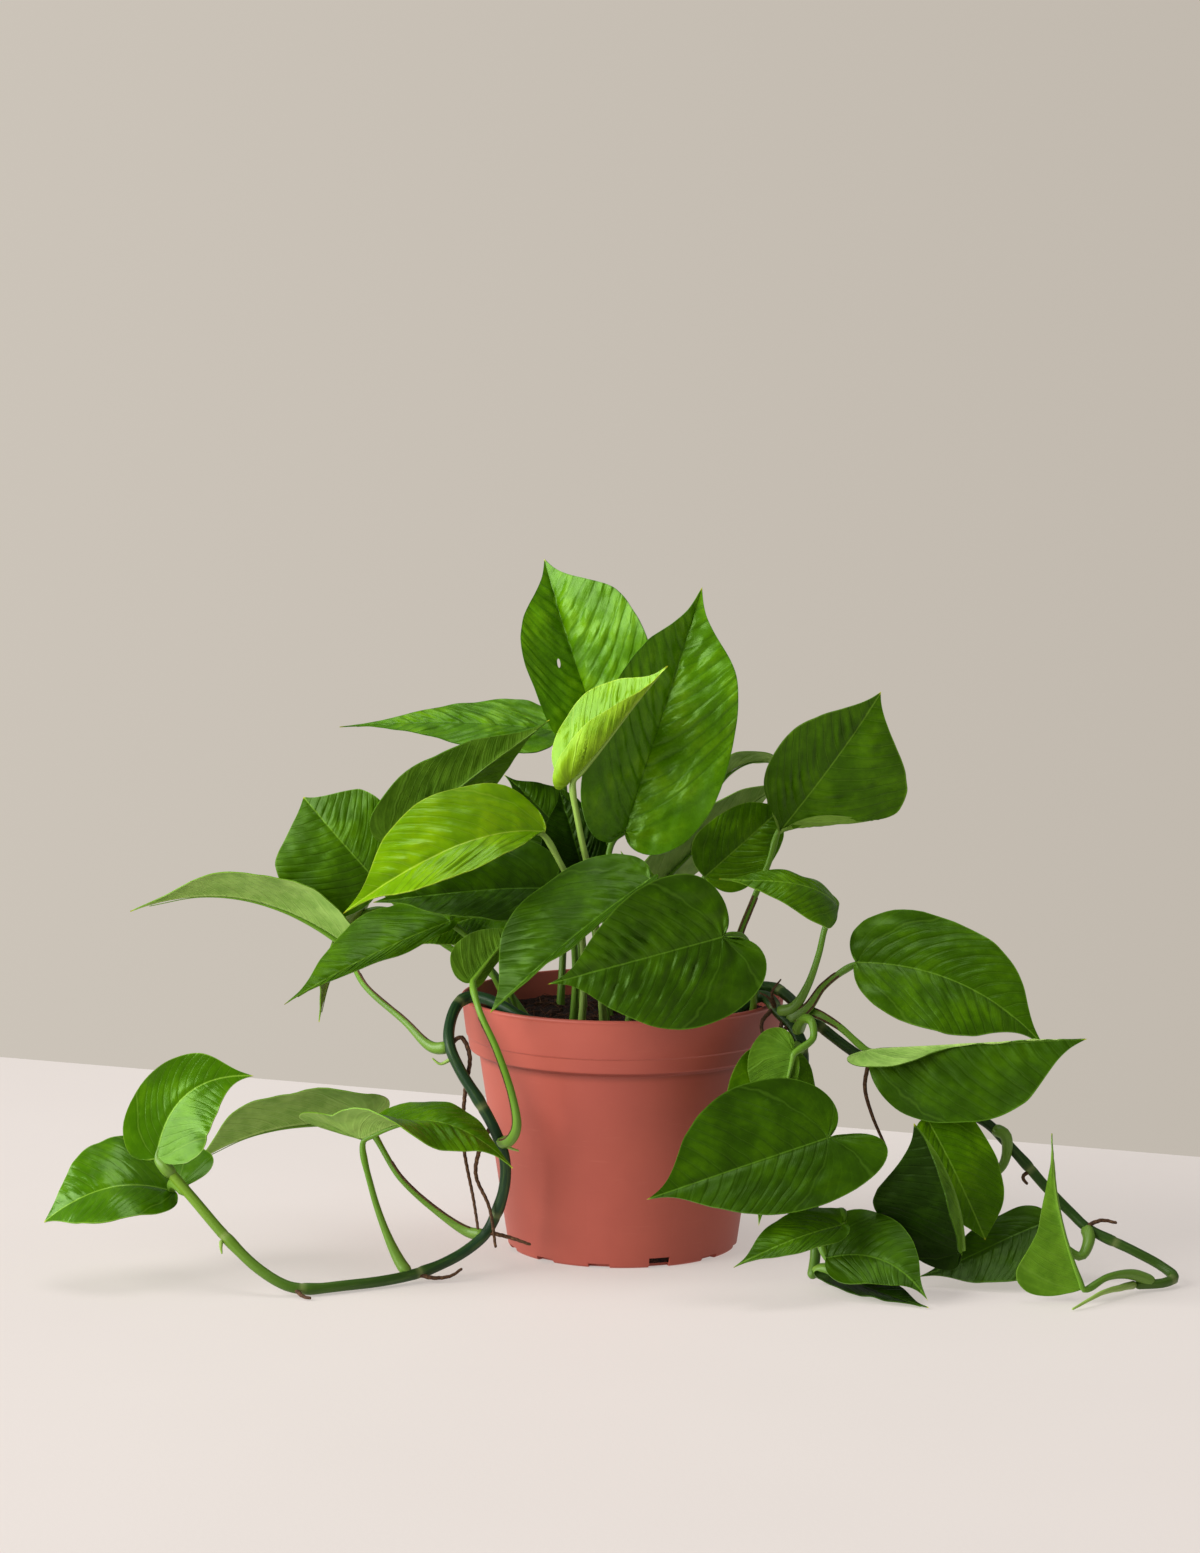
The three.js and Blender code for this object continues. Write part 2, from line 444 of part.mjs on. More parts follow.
// A vine's bar, thicker at its nodes and slimmer towards its free end; extra widens it into a cutting tool.
function vineBar(vine, extra = 0) {
  const curve = vineCurve(vine);
  const steps = Math.round(curve.getLength() / vineStepLength);
  const radiusAt = (share) => {
    const swollen = vine.nodes.some((node) => Math.abs(node - share) < 0.5 / steps);
    const taper = THREE.MathUtils.lerp(...vineTaper, share);
    return vineRadius * taper * (swollen ? nodeSwelling : 1) + extra;
  };
  return solid(barAlong(curve, radiusAt, vineSides, steps));
}

function rootBar(line) {
  const radiusAt = (share) => rootRadius * THREE.MathUtils.lerp(...rootTaper, share);
  return solid(barAlong(curveThrough(line), radiusAt, rootSides, rootSteps));
}

// A leaf stalk that runs on under the blade as its rib, thinning all the way.
function stalkCurve(leaf, form) {
  const under = (share) => form.at(share * form.length, 0, -bladeThickness * 0.8).toArray();
  return curveThrough([...leaf.stalk, under(0), under(ribReach / 2), under(ribReach)]);
}

function stalkBar(leaf, form, extra = 0) {
  const radiusAt = (share) => THREE.MathUtils.lerp(stalkRadius, stalkTipRadius, share ** 2) + extra;
  return solid(barAlong(stalkCurve(leaf, form), radiusAt, stalkSides, stalkSteps));
}

// The largest of a solid's separate bodies.
function mainBody(body) {
  return body.decompose().reduce((most, piece) => (piece.volume() > most.volume() ? piece : most));
}

const plant = new THREE.Group();

function addNode(name, body, colour, roughness) {
  const material = new THREE.MeshStandardMaterial({ color: colour, roughness, metalness: 0 });
  const mesh = new THREE.Mesh(geometryOf(body), material);
  mesh.name = name;
  plant.add(mesh);
}

// The pot: a tapered wall with a wide rim band, a flat floor, and drain slots in its bottom corner.
function potProfile() {
  const outer = [
    [0, 0], [potBaseRadius - 1, 0], [potBaseRadius, 1], [potBodyRadius, potShoulder],
    [potBandRadius - 1.6, potBandFoot], [potBandRadius - 0.7, potBandTop - 0.6],
    [potBandRadius, potBandTop],
    [potRimRadius - 0.6, potHeight - 2], [potRimRadius, potHeight - 1], [potRimRadius - 0.7, potHeight],
  ];
  const inner = [
    [potRimRadius - 0.6 - potWall, potHeight], [potBandRadius - potWall, potBandTop],
    [potBandRadius - 1.6 - potWall, potBandFoot], [potBodyRadius - potWall, potShoulder],
    [potBaseRadius - potWall, potWall], [0, potWall],
  ];
  return { outer, inner };
}

function makePot() {
  const { outer, inner } = potProfile();
  const points = [...outer, ...inner].map(([r, z]) => new THREE.Vector2(r, z));
  const shell = new THREE.LatheGeometry(points, potFacets).rotateX(Math.PI / 2);
  let body = solid(shell);
  for (let slot = 0; slot < drainSlots; slot++) {
    const height = drainSlotHeights[slot % drainSlotHeights.length];
    const cutter = new THREE.BoxGeometry(drainSlotDepth, drainSlotWidth, 2 * height);
    cutter.translate(potBaseRadius, 0, 0).rotateZ(degrees(firstDrainSlot + (360 / drainSlots) * slot));
    body = body.subtract(solid(cutter));
  }
  return body;
}

// The soil fills the pot, a gap clear of its wall, with a lumpy top.
function makeSoil(holes) {
  const { inner } = potProfile();
  const wallAt = (z) => {
    const upper = inner.findIndex(([, height]) => height <= z) - 1;
    const [[r1, z1], [r0, z0]] = [inner[upper], inner[upper + 1]];
    return r0 + ((r1 - r0) * (z - z0)) / (z1 - z0) - seatGap;
  };
  const heights = [potWall + seatGap, potShoulder, potBandFoot, potBandTop, soilLevel - soilRoughness];
  const side = heights.map((z) => [wallAt(z), z]);
  const ringWidth = wallAt(soilLevel) / (soilRings + 0.5);
  const top = [];
  for (let ring = soilRings; ring >= 0; ring--) top.push([ringWidth * ring, soilLevel]);
  const profile = [[0, potWall + seatGap], ...side, ...top].map(([r, z]) => new THREE.Vector2(r, z));
  const lump = new THREE.LatheGeometry(profile, potFacets / 2).rotateX(Math.PI / 2);
  const position = lump.attributes.position;
  for (let i = 0; i < position.count; i++) {
    const [x, y, z] = [position.getX(i), position.getY(i), position.getZ(i)];
    if (z < soilLevel - 0.01) continue;
    position.setZ(i, z + soilRoughness * Math.sin(x * soilWaves[0] + 1) * Math.cos(y * soilWaves[1]));
  }
  return mainBody(holes.reduce((body, hole) => body.subtract(hole), solid(lump)));
}

// Everything that stands in the soil cuts its own hole, a gap wider than itself.
const holes = [];

for (const [name, vine] of Object.entries(vines)) {
  holes.push(vineBar(vine, seatGap));
  const body = vine.roots.reduce((whole, line) => whole.add(rootBar(line)), vineBar(vine));
  addNode(name, body, '#2f5a34', 0.55);
}

for (const leaf of leaves) {
  const form = bladeForm(leaf);
  let stalk = stalkBar(leaf, form);
  if (leaf.vine) stalk = mainBody(stalk.subtract(vineBar(vines[leaf.vine], seatGap)));
  else holes.push(stalkBar(leaf, form, seatGap));
  addNode(leaf.name, bladeSolid(leaf, form).add(stalk), '#3f8a1c', 0.35);
}

const spike = barAlong(
  curveThrough([rolledLeaf.from, ...rolledLeaf.line]),
  (share) => rolledLeaf.radius * (1 - 0.75 * share),
  stalkSides,
  stalkSteps,
);
const seatedSpike = mainBody(solid(spike).subtract(vineBar(vines.vine_right, seatGap)));
addNode('leaf_rolled_tip', seatedSpike, '#7ba24a', 0.4);

addNode('soil', makeSoil(holes), '#2b1c14', 0.95);
addNode('nursery_pot', makePot(), '#b95f4c', 0.6);

export default plant;
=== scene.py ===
"""The looks of a jade pothos in a terracotta-coloured plastic nursery pot."""
import math
import random

import bpy
import numpy as np
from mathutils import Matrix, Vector, noise


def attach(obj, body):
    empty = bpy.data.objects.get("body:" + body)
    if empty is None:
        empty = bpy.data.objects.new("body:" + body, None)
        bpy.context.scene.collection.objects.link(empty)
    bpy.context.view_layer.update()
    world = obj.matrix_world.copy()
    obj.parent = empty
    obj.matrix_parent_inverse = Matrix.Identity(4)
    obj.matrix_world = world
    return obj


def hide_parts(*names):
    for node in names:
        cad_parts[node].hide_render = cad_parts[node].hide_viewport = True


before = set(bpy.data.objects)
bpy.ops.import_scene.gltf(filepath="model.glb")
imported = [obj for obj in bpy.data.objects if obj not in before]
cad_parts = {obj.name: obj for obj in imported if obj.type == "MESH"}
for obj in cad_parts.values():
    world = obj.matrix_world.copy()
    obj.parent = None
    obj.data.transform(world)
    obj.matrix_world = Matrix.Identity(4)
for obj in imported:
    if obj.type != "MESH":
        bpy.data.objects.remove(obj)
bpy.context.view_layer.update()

# Lengths in this script are millimetres, and become metres when a piece is placed
MM = 0.001

# The pot
POT_HEIGHT = 119
POT_RIM_RADIUS = 76
POT_LIP_RADIUS = 75.4
POT_BAND_RADIUS = 73.4
POT_BAND_FOOT_RADIUS = 71.8
POT_BAND_TOP = 101
POT_BAND_FOOT = 94
POT_SHOULDER = 92
POT_BODY_RADIUS = 67.4
POT_BASE_RADIUS = 54
POT_WALL = 1.5
POT_GROOVE = 0.7
POT_SIDES = 160
DRAIN_SLOTS = 12
FIRST_DRAIN_SLOT = -72
DRAIN_SLOT_WIDTH = 10
DRAIN_SLOT_DEPTH = 8
DRAIN_SLOT_HEIGHTS = (4.6, 2, 2, 2)

# The shade under the rim band: the heights where it starts, is full, starts to fade and is gone
BAND_SHADE = (88.5, 92.5, 93.4, 94.4)

# The soil, its crumbs and the strands of coir on it
SOIL_LEVEL = 107
SOIL_GAP = 0.3
SOIL_SIDES = 180
SOIL_RINGS = 70
CRUMBS = 700
CRUMB_SIZES = (0.5, 2.1)
STRANDS = 200
STRAND_LENGTHS = (5, 16)
STRAND_RADII = (0.1, 0.22)

# The leaves
BLADE_THICKNESS = 0.55
BLADE_ROWS = (24, 56)
BLADE_COLUMNS = 36
LOBE_SHARE = 0.42
WAVE_COUNT = 2.5
VEIN_COUNT = 13
RIB_GROOVE = 0.5
RIB_GROOVE_WIDTH = 1.5
NICK_SHARE = 0.012
STALK_RADIUS = 1.8
STALK_NECK_RADIUS = 1.35
STALK_SIDES = 12
SHEATH_ON_VINE = 1.2
SHEATH_IN_SOIL = 0.5
SHEATH_LENGTH = 18
RIB_REACH = 0.92
RIB_TIP_RADIUS = 0.2
MARGIN_RADIUS = 0.55
MARGIN_TURN = 0.85

# The vines and their roots
VINE_RADIUS = 2.9
VINE_SIDES = 20
NODE_SWELLING = 0.13
NODE_LENGTH = 4.5
SCAR_RING = 3.2
ROOT_RADIUS = 0.85
ROOT_SIDES = 8

# Each vine: its girth as a share of the usual one, the places on its centre line, the shares of its
# length where a leaf grows, and its aerial roots
VINES = {
    "left": dict(
        girth=0.87,
        line=[
            (-16, -50, 98), (-30, -51, 110), (-45, -47, 115), (-56, -41.5, 120.3), (-63, -38, 122.8),
            (-69.5, -35.5, 123.3), (-75, -38.5, 121.6), (-79, -48, 114), (-79, -58, 105), (-74, -62, 94),
            (-65, -66, 80), (-58, -68, 67), (-54, -68, 55), (-54, -66, 42), (-58, -64, 28), (-63, -66, 19),
            (-72, -70, 12), (-83, -75, 7), (-94, -81, 4.2), (-108, -90, 3.2), (-125, -99, 3.2),
            (-141, -106, 3.4), (-150, -107, 5), (-163, -104, 12), (-178, -98, 25), (-193, -92, 41),
            (-205, -88, 54)],
        nodes=(0.184, 0.339, 0.485, 0.611, 0.767, 0.883),
        roots=[
            [(-79, -58, 105), (-74, -55, 108), (-70, -57, 100), (-72, -60, 84), (-73, -62, 62),
             (-68, -66, 34), (-66, -70, 22)],
            [(-60, -68, 70), (-66, -67, 56), (-67, -66, 46), (-61, -68, 32), (-58, -72, 14)],
            [(-62, -66, 20), (-52, -68, 18), (-42, -70, 15)],
            [(-94, -81, 4.2), (-86, -82, 2.5), (-78, -80, 3), (-73, -78, 6)],
            [(-147, -107, 4), (-143, -112, 1.5), (-139, -115, 1.2)]]),
    "right": dict(
        girth=0.82,
        line=[
            (36, 12, 94), (48, 6, 112), (61, -7, 122.5), (70, -20, 125), (76, -32, 123), (82, -42, 118),
            (90, -48, 112), (107, -55, 100), (136, -57, 84), (166, -60, 69), (174, -61, 61),
            (185, -62, 49), (192, -64, 41), (204, -68, 29), (211, -72, 23), (231, -78, 14), (243, -82, 8),
            (248, -88, 4.4), (243, -94, 3.2), (229, -99, 3.4)],
        nodes=(0.2, 0.3, 0.52, 0.66, 0.82, 0.93),
        roots=[
            [(112, -56, 97), (110, -60, 86), (113, -63, 74), (119, -66, 60)],
            [(210, -72, 24), (217, -73, 27), (224, -74, 26)],
            [(186, -62, 48), (182, -64, 45), (184, -66, 42)]]),
    "middle": dict(
        girth=0.92,
        line=[
            (40, -20, 94), (50, -24, 111), (60, -30, 121.5), (66, -38, 123.5), (71, -47, 118.5),
            (77, -54, 113), (81, -57, 105), (82, -60, 93), (83, -65, 67), (86, -72, 36), (87, -79, 13),
            (85, -87, 3.4)],
        nodes=(0.28, 0.42, 0.62, 0.86),
        roots=[
            [(69, -45, 120), (63, -55, 114), (65, -59, 106), (70, -60, 99)],
            [(73, -50, 116), (70, -60, 109), (66, -63, 108), (61, -64, 108)],
            [(76, -53, 114), (70, -60, 107), (73, -61, 101), (78, -62.5, 96)]]),
}


def leaf_values(**own):
    """A leaf's own values, and the usual ones for those that it leaves out."""
    usual = dict(sway=0, curl=(-10, -10), wave=0.8, lobe=(0.17, 0.17), peak=(0.25, 0.25), full=(0.5, 0.5),
                 slim=(0, 0), drip=0.45)
    return {**usual, "fold_end": own["fold"], **own}


# The leaves. A leaf with a vine grows from it, and the others from the soil. looks are the greens of the
# upper and the lower side, and how far the blade puckers between its veins. stalk are places on the stalk,
# base and tip the ends of the midrib, and face the way that the upper side looks. rise is how far the
# midrib bows out at one and two thirds, sway how far it bends to the left, wave how high the edge waves,
# and drip how much the tip is drawn in. The other values give the left half first: half is its width, fold
# its slope in degrees at the rib and fold_end that slope near the tip, curl the gain to the edge, lobe the
# depth of its lobe, peak where it is widest, full how full it stays towards the tip, and slim how much
# narrower it is past the lobe.
LEAVES = {
    "crown_back": leaf_values(
        looks=("crown", "pale", 1.5), stalk=[(-8, 12, 95), (-8, 20, 150), (-8, 26, 205)],
        base=(-9, 25, 233), tip=(-37, 45, 320), face=(-0.25, -1, 0.2), half=(24, 41), rise=(3, 10),
        fold=(37, 22), curl=(-8, -8), wave=1.5, lobe=(0.1, 0.1), peak=(0.45, 0.4), full=(0.8, 1)),
    "crown_tall": leaf_values(
        looks=("crown", "pale", 1.7), stalk=[(-8, -8, 95), (-8, -9, 150), (-7, -8, 183), (-4, -7, 193)],
        base=(1, -10, 197), tip=(37, 10, 309), face=(0.1, -1, 0.3), half=(33, 37), rise=(3, 9),
        fold=(35, 20), curl=(-10, -14), wave=1.5, lobe=(0.08, 0.08), peak=(0.3, 0.32), full=(0.75, 1)),
    "crown_young": leaf_values(
        looks=("young", "lime", 1.2),
        stalk=[(-8, -26, 95), (-12, -30, 150), (-15, -31, 177), (-20, -35, 201)], base=(-24, -35, 224),
        tip=(20, -45, 277), face=(-0.6, -0.5, 0.6), half=(26, 12), rise=(-2, 2), fold=(10, 50),
        curl=(20, 130), wave=0.4, lobe=(0.08, 0.12), peak=(0.35, 0.25), full=(0.5, 0.2)),
    "left_high": leaf_values(
        looks=("crown", "pale", 1.1), stalk=[(-30, 36, 95), (-27, 42, 170), (-28, 41, 215)],
        base=(-32, 38, 239), tip=(-134, 34, 241), face=(0, -0.5, 0.85), half=(22, 19), rise=(5, 5),
        fold=(8, 8), wave=1.2, lobe=(0.02, 0.02), peak=(0.2, 0.15), full=(0.1, 0)),
    "left_inward": leaf_values(
        looks=("crown", "dull", 0.8), stalk=[(-38, 6, 95), (-58, 6, 124), (-84, 4, 150), (-103, 1, 178)],
        base=(-107, 0, 191), tip=(-34, -12, 249), face=(-0.3, 0.8, 0.5), half=(20, 23), rise=(4, 3),
        fold=(14, 14), wave=1.2, lobe=(0.06, 0.07), full=(0.4, 0.5)),
    "left_bright": leaf_values(
        looks=("young", "lime", 1.3),
        stalk=[(-20, -34, 95), (-18, -36, 140), (-22, -36, 171), (-28, -36, 184)], base=(-36, -35, 200),
        tip=(-126, -75, 168), face=(0, -0.68, 0.73), half=(17, 28), rise=(24, 16), fold=(14, 21),
        curl=(-14, -14), wave=1, lobe=(-0.08, 0.02), peak=(0.5, 0.3), full=(0.5, 0.8)),
    "left_round": leaf_values(
        looks=("rich", "pale", 0.5), stalk=[(-42, 16, 95), (-60, 20, 123), (-86, 22, 140), (-108, 18, 160)],
        base=(-115, 15, 169), tip=(-151, 30, 208), face=(-0.3, -0.9, 0.45), half=(35, 27), rise=(6, 8),
        fold=(4, 4), curl=(-14, -14), wave=1, lobe=(0.1, 0.1), peak=(0.4, 0.4), full=(1.4, 1.2)),
    "left_far": leaf_values(
        vine="vine_left", looks=("mid", "silver", 0.3),
        stalk=[(-79, -58, 104), (-87, -53, 103), (-100, -42, 113), (-120, -18, 126)], base=(-130, 5, 142),
        tip=(-231, 5, 157), face=(0, 0.25, 1), half=(23, 20), rise=(18, 20), fold=(35, 25), wave=1.2,
        lobe=(0.05, 0.05)),
    "left_low": leaf_values(
        looks=("rich", "pale", 0.6), stalk=[(-42, -18, 95), (-56, -20, 123), (-68, -22, 145)],
        base=(-80, -25, 157), tip=(-154, -60, 124), face=(0, -0.6, 0.9), half=(6, 24), rise=(5, 5),
        fold=(-20, 5), wave=1, lobe=(0.05, 0.1), full=(0.2, 0.4)),
    "left_hanging": leaf_values(
        looks=("mid", "pale", 0.6), stalk=[(-46, 32, 95), (-62, 38, 123), (-84, 46, 138), (-110, 47, 151)],
        base=(-124, 44, 152), tip=(-145, 36, 99), face=(-1, 0.2, 0.3), half=(17, 17), rise=(5, 5),
        fold=(12, 12)),
    "left_under": leaf_values(
        looks=("deep", "dull", 1.0),
        stalk=[(-24, -12, 95), (-22, -16, 130), (-24, -20, 154), (-28, -21, 164)], base=(-35, -22, 172),
        tip=(-114, -47, 169), face=(0, -0.67, 0.74), half=(25, 27), rise=(4, 2), fold=(20, 20),
        curl=(-12, -12), wave=1, lobe=(0.02, 0.1), full=(0.7, 0.7)),
    "inner_left": leaf_values(
        looks=("deep", "dull", 1.0), stalk=[(-18, 28, 95), (-20, 26, 140), (-20, 22, 172)],
        base=(-22, 20, 184), tip=(-56, 35, 218), face=(0.3, -0.8, 0.6), half=(18, 18), rise=(4, 4),
        fold=(10, 10), curl=(-8, -8)),
    "inner_dark": leaf_values(
        looks=("dark", "dull", 1.0), stalk=[(-4, 8, 95), (-12, 6, 140), (-15, 4, 162)], base=(-17, 2, 172),
        tip=(-30, 6, 216), face=(0, -1, 0.2), half=(18, 14), rise=(4, 4), fold=(10, 10), curl=(-8, -8)),
    "front_left": leaf_values(
        looks=("deep", "pale", 1.4), stalk=[(0, -38, 95), (6, -43, 135), (11, -50, 168)],
        base=(12, -56, 181), tip=(-60, -76, 123), face=(-0.2, -0.8, 0.6), half=(16, 33), rise=(7, 6),
        fold=(50, 0), curl=(0, -14), wave=1, lobe=(0.04, 0.06), peak=(0.25, 0.45), full=(0.5, 0.9)),
    "front_round": leaf_values(
        looks=("deep", "dull", 1.7), stalk=[(58, -26, 95), (60, -44, 130), (54, -66, 156)],
        base=(44, -80, 158), tip=(-34, -88, 138), face=(0.05, -1, 0.15), half=(36, 33), rise=(3, 5),
        fold=(6, 6), curl=(-8, -8), lobe=(0.22, 0.08), peak=(0.25, 0.2), full=(0.4, 0.4)),
    "front_stem": leaf_values(
        vine="vine_left", looks=("rich", "dull", 0.6),
        stalk=[(-56, -68, 62), (-51, -77, 65), (-48, -81, 72), (-50, -81, 86), (-57, -80, 107),
               (-65, -75, 124)], base=(-69, -63, 135), tip=(-47, -52, 160), face=(0.3, 0.9, 0.5),
        half=(9, 16), rise=(3, 3), fold=(50, 5), curl=(-8, -8), wave=0.6, lobe=(0.05, 0.1)),
    "left_inner_low": leaf_values(
        looks=("mid", "pale", 1.4), stalk=[(-46, 0, 95), (-54, -3, 125), (-57, -5, 148)],
        base=(-60, -5, 158), tip=(-99, -12, 142), face=(0, -0.6, 0.8), half=(15, 15), rise=(5, 5),
        fold=(8, 8), wave=1.4),
    "right_inner": leaf_values(
        looks=("mid", "dull", 0.8), stalk=[(32, 18, 95), (35, 15, 140), (37, 13, 163)], base=(39, 10, 173),
        tip=(79, 30, 206), face=(0.1, -1, 0.2), half=(18, 17), rise=(4, 5), fold=(8, 8), wave=1,
        lobe=(0.02, 0.02), full=(1, 1)),
    "right_high": leaf_values(
        looks=("rich", "pale", 1.2),
        stalk=[(46, -12, 95), (50, -10, 125), (54, -2, 145), (61, 4, 162), (69, 8, 181)],
        base=(73, 10, 193), tip=(120, 0, 261), face=(0.3, -0.9, 0.1), half=(27, 40), rise=(4, 8),
        fold=(8, 8), curl=(-10, -14), wave=1, lobe=(-0.08, -0.25), peak=(0.44, 0.5), full=(0.6, 0.4),
        drip=0.1),
    "right_back": leaf_values(
        looks=("mid", "silver", 0.7), stalk=[(24, 50, 95), (30, 58, 150), (36, 58, 190)],
        base=(40, 56, 203), tip=(88, 62, 214), face=(-0.3, 0.4, 0.9), half=(13, 13), rise=(18, 20),
        fold=(14, 14), curl=(-8, -8)),
    "right_behind": leaf_values(
        looks=("mid", "silver", 0.7), stalk=[(10, 30, 95), (12, 33, 135), (13, 32, 155)],
        base=(16, 30, 165), tip=(83, 45, 217), face=(0.2, 0.6, 0.8), half=(19, 19), rise=(6, 6),
        fold=(12, 12), curl=(-8, -8)),
    "inner_small": leaf_values(
        looks=("mid", "pale", 0.5), stalk=[(16, -16, 95), (16, -17, 135), (13, -17, 157)],
        base=(9, -18, 165), tip=(-1, -20, 189), face=(0.2, -0.9, 0.5), half=(8, 10), rise=(2, 2),
        fold=(8, 8), curl=(-8, -8), wave=0.4),
    "right_small": leaf_values(
        vine="vine_middle", looks=("mid", "pale", 0.8),
        stalk=[(71, -48, 118.5), (78, -55, 122), (84, -56, 132), (89, -54, 146), (92, -52, 158)],
        base=(98, -50, 168), tip=(43, -70, 183), face=(0.4, -0.5, 0.8), half=(18, 14), rise=(14, 4),
        fold=(-8, -8), curl=(-20, -20), wave=0.6, lobe=(0, 0.03), peak=(0.15, 0.2), full=(0.2, 0.4)),
    "right_upper": leaf_values(
        vine="vine_middle", looks=("rich", "pale", 0.9),
        stalk=[(75, -52, 115), (84, -57, 122), (91, -54, 131)], base=(107, -45, 141), tip=(191, -60, 105),
        face=(0.15, -0.8, 0.6), half=(30, 29), rise=(5, 6), sway=13, fold=(6, 6), curl=(-12, -12),
        lobe=(0.05, 0.03), peak=(0.3, 0.38), full=(0.8, 0.8)),
    "right_lower": leaf_values(
        vine="vine_right", looks=("deep", "silver", 0.9),
        stalk=[(83, -44, 117), (88, -56, 119), (98, -61, 114)], base=(111, -66, 104), tip=(208, -84, 112.5),
        face=(0, -0.9, 0.35), half=(13, 35), rise=(1, 1), fold=(138, -4), curl=(0, -8), wave=0.6,
        lobe=(0.1, 0.01), peak=(0.1, 0.4), full=(-0.6, 0.9), slim=(0.92, 0)),
    "middle_front": leaf_values(
        vine="vine_middle", looks=("deep", "pale", 0.5),
        stalk=[(84.5, -69, 52), (96, -76, 56), (98, -89, 64)], base=(91, -97, 70), tip=(10, -120, 47),
        face=(-0.1, -0.95, 0.3), half=(29, 35), rise=(2, 3), fold=(16, 0), curl=(-6, -6), wave=1,
        lobe=(0.28, 0.12), peak=(0.2, 0.32), full=(0.5, 0.55)),
    "middle_pale": leaf_values(
        vine="vine_middle", looks=("mid", "dull", 0.6),
        stalk=[(79, -55, 110), (82, -64, 118), (85, -71, 118), (85.5, -74, 111)], base=(77, -77, 104.5),
        tip=(67, -84, 66), face=(0.3, 1, 0.3), half=(20, 4), rise=(2, 2), fold=(4, 8), curl=(-8, -8),
        wave=0.6, lobe=(0.25, 0), peak=(0.15, 0.25), full=(0.3, 0.5)),
    "middle_behind": leaf_values(
        vine="vine_middle", looks=("mid", "pale", 0.7),
        stalk=[(81.5, -58, 102), (77, -63, 105), (73, -67, 102)], base=(69, -67, 94), tip=(61, -84, 27),
        face=(0.2, -1, 0.1), half=(20, 22), rise=(3, 3), fold=(6, 6), curl=(-8, -8)),
    "right_folded": leaf_values(
        vine="vine_right", looks=("dark", "dull", 0.6),
        stalk=[(168, -60.5, 67), (174, -63, 64), (173, -62, 50), (158, -64, 40), (143, -72, 38),
               (138, -84, 36), (144, -94, 27)], base=(151, -101, 19), tip=(129, -104, 78),
        face=(-0.45, -0.9, 0), half=(38, 8), rise=(3, 3), sway=-10, fold=(4, 95), curl=(0, 0),
        lobe=(0.2, 0), peak=(0.45, 0.4), full=(1.2, 0.2)),
    "right_drooping": leaf_values(
        vine="vine_right", looks=("mid", "pale", 0.8),
        stalk=[(139, -57, 82), (141, -64, 84), (140, -70, 81)], base=(138, -73, 73), tip=(163, -86, 21),
        face=(0.25, -0.95, 0.1), half=(20, 13), rise=(5, 5), fold=(8, 8), curl=(-12, -12),
        lobe=(0.17, 0.04), peak=(0.4, 0.45), full=(1.3, 0.9), drip=0),
    "right_floor": leaf_values(
        vine="vine_right", looks=("deep", "pale", 0.4),
        stalk=[(210, -71.5, 24), (211, -77, 19), (207, -80, 12), (200, -79, 16)], base=(191, -77, 27),
        tip=(133, -90, 5), face=(0, -0.42, 0.9), half=(24, 13), rise=(2, -3), fold=(-8, 20), curl=(-4, -10),
        lobe=(0.05, 0.05)),
    "right_upright": leaf_values(
        vine="vine_right", looks=("mid", "dull", 0.5),
        stalk=[(238, -95, 3.3), (228, -101, 8.5), (215, -112, 10)], base=(204, -118, 6.5),
        tip=(188, -126, 78), face=(0.1, 1, 0), half=(10, 27), rise=(1, 1), sway=-5, fold=(100, 2),
        curl=(0, -6), wave=0.5, lobe=(0, 0), peak=(0.5, 0.2), full=(0.3, -0.45), slim=(0, 0.42)),
    "middle_small": leaf_values(
        vine="vine_middle", looks=("rich", "pale", 0.5),
        stalk=[(86, -75, 26), (92, -88, 33), (98, -100, 37)], base=(97, -108, 33), tip=(48, -135, 20),
        face=(-0.1, -0.6, 0.8), half=(9, 15), rise=(4, 4), fold=(0, 6), curl=(-12, -12), wave=0.6,
        lobe=(0.05, 0.12)),
    "middle_floor": leaf_values(
        vine="vine_middle", looks=("deep", "pale", 0.3),
        stalk=[(86.5, -77, 20), (89, -86, 22), (89, -95, 20)], base=(91, -100, 16), tip=(134, -128, 3.5),
        face=(-0.2, -0.7, 0.7), half=(24, 15), rise=(6, 6), sway=10, fold=(6, 6), curl=(-14, -14), wave=0.6,
        lobe=(0.06, 0.02), peak=(0.15, 0.25), full=(0.4, 0.6)),
    "middle_lowest": leaf_values(
        vine="vine_middle", looks=("dark", "dull", 0.3), stalk=[(86, -84, 6), (90, -88, 8), (93, -91, 8)],
        base=(95, -93, 7), tip=(134, -132, 1.3), face=(0, -0.3, 0.95), half=(10, 10), rise=(-1, -1),
        fold=(8, 8), curl=(-4, -4), wave=0.4),
    "vine_tip_upright": leaf_values(
        vine="vine_left", looks=("fresh", "lime", 0.1), stalk=[(-202, -88.5, 51), (-206, -89, 55)],
        base=(-210, -88, 59), tip=(-166, -86, 96), face=(-0.3, -0.85, 0.4), half=(19, 24), rise=(6, 8),
        sway=16, fold=(6, 0), curl=(14, 14), wave=0.6, lobe=(0.05, 0.05), full=(1.1, 0.9)),
    "vine_tip_low": leaf_values(
        vine="vine_left", looks=("fresh", "lime", 0.4),
        stalk=[(-196, -91, 44), (-201, -84, 46), (-204, -79, 45)], base=(-204, -75, 41),
        tip=(-261, -86, 29), face=(0, -0.55, 0.84), half=(21, 31), rise=(17, 15), fold=(6, 6),
        curl=(-12, -12), wave=0.6, lobe=(0.03, 0.34), peak=(0.45, 0.25), full=(0.9, 0.8), drip=0.1),
    "vine_arching": leaf_values(
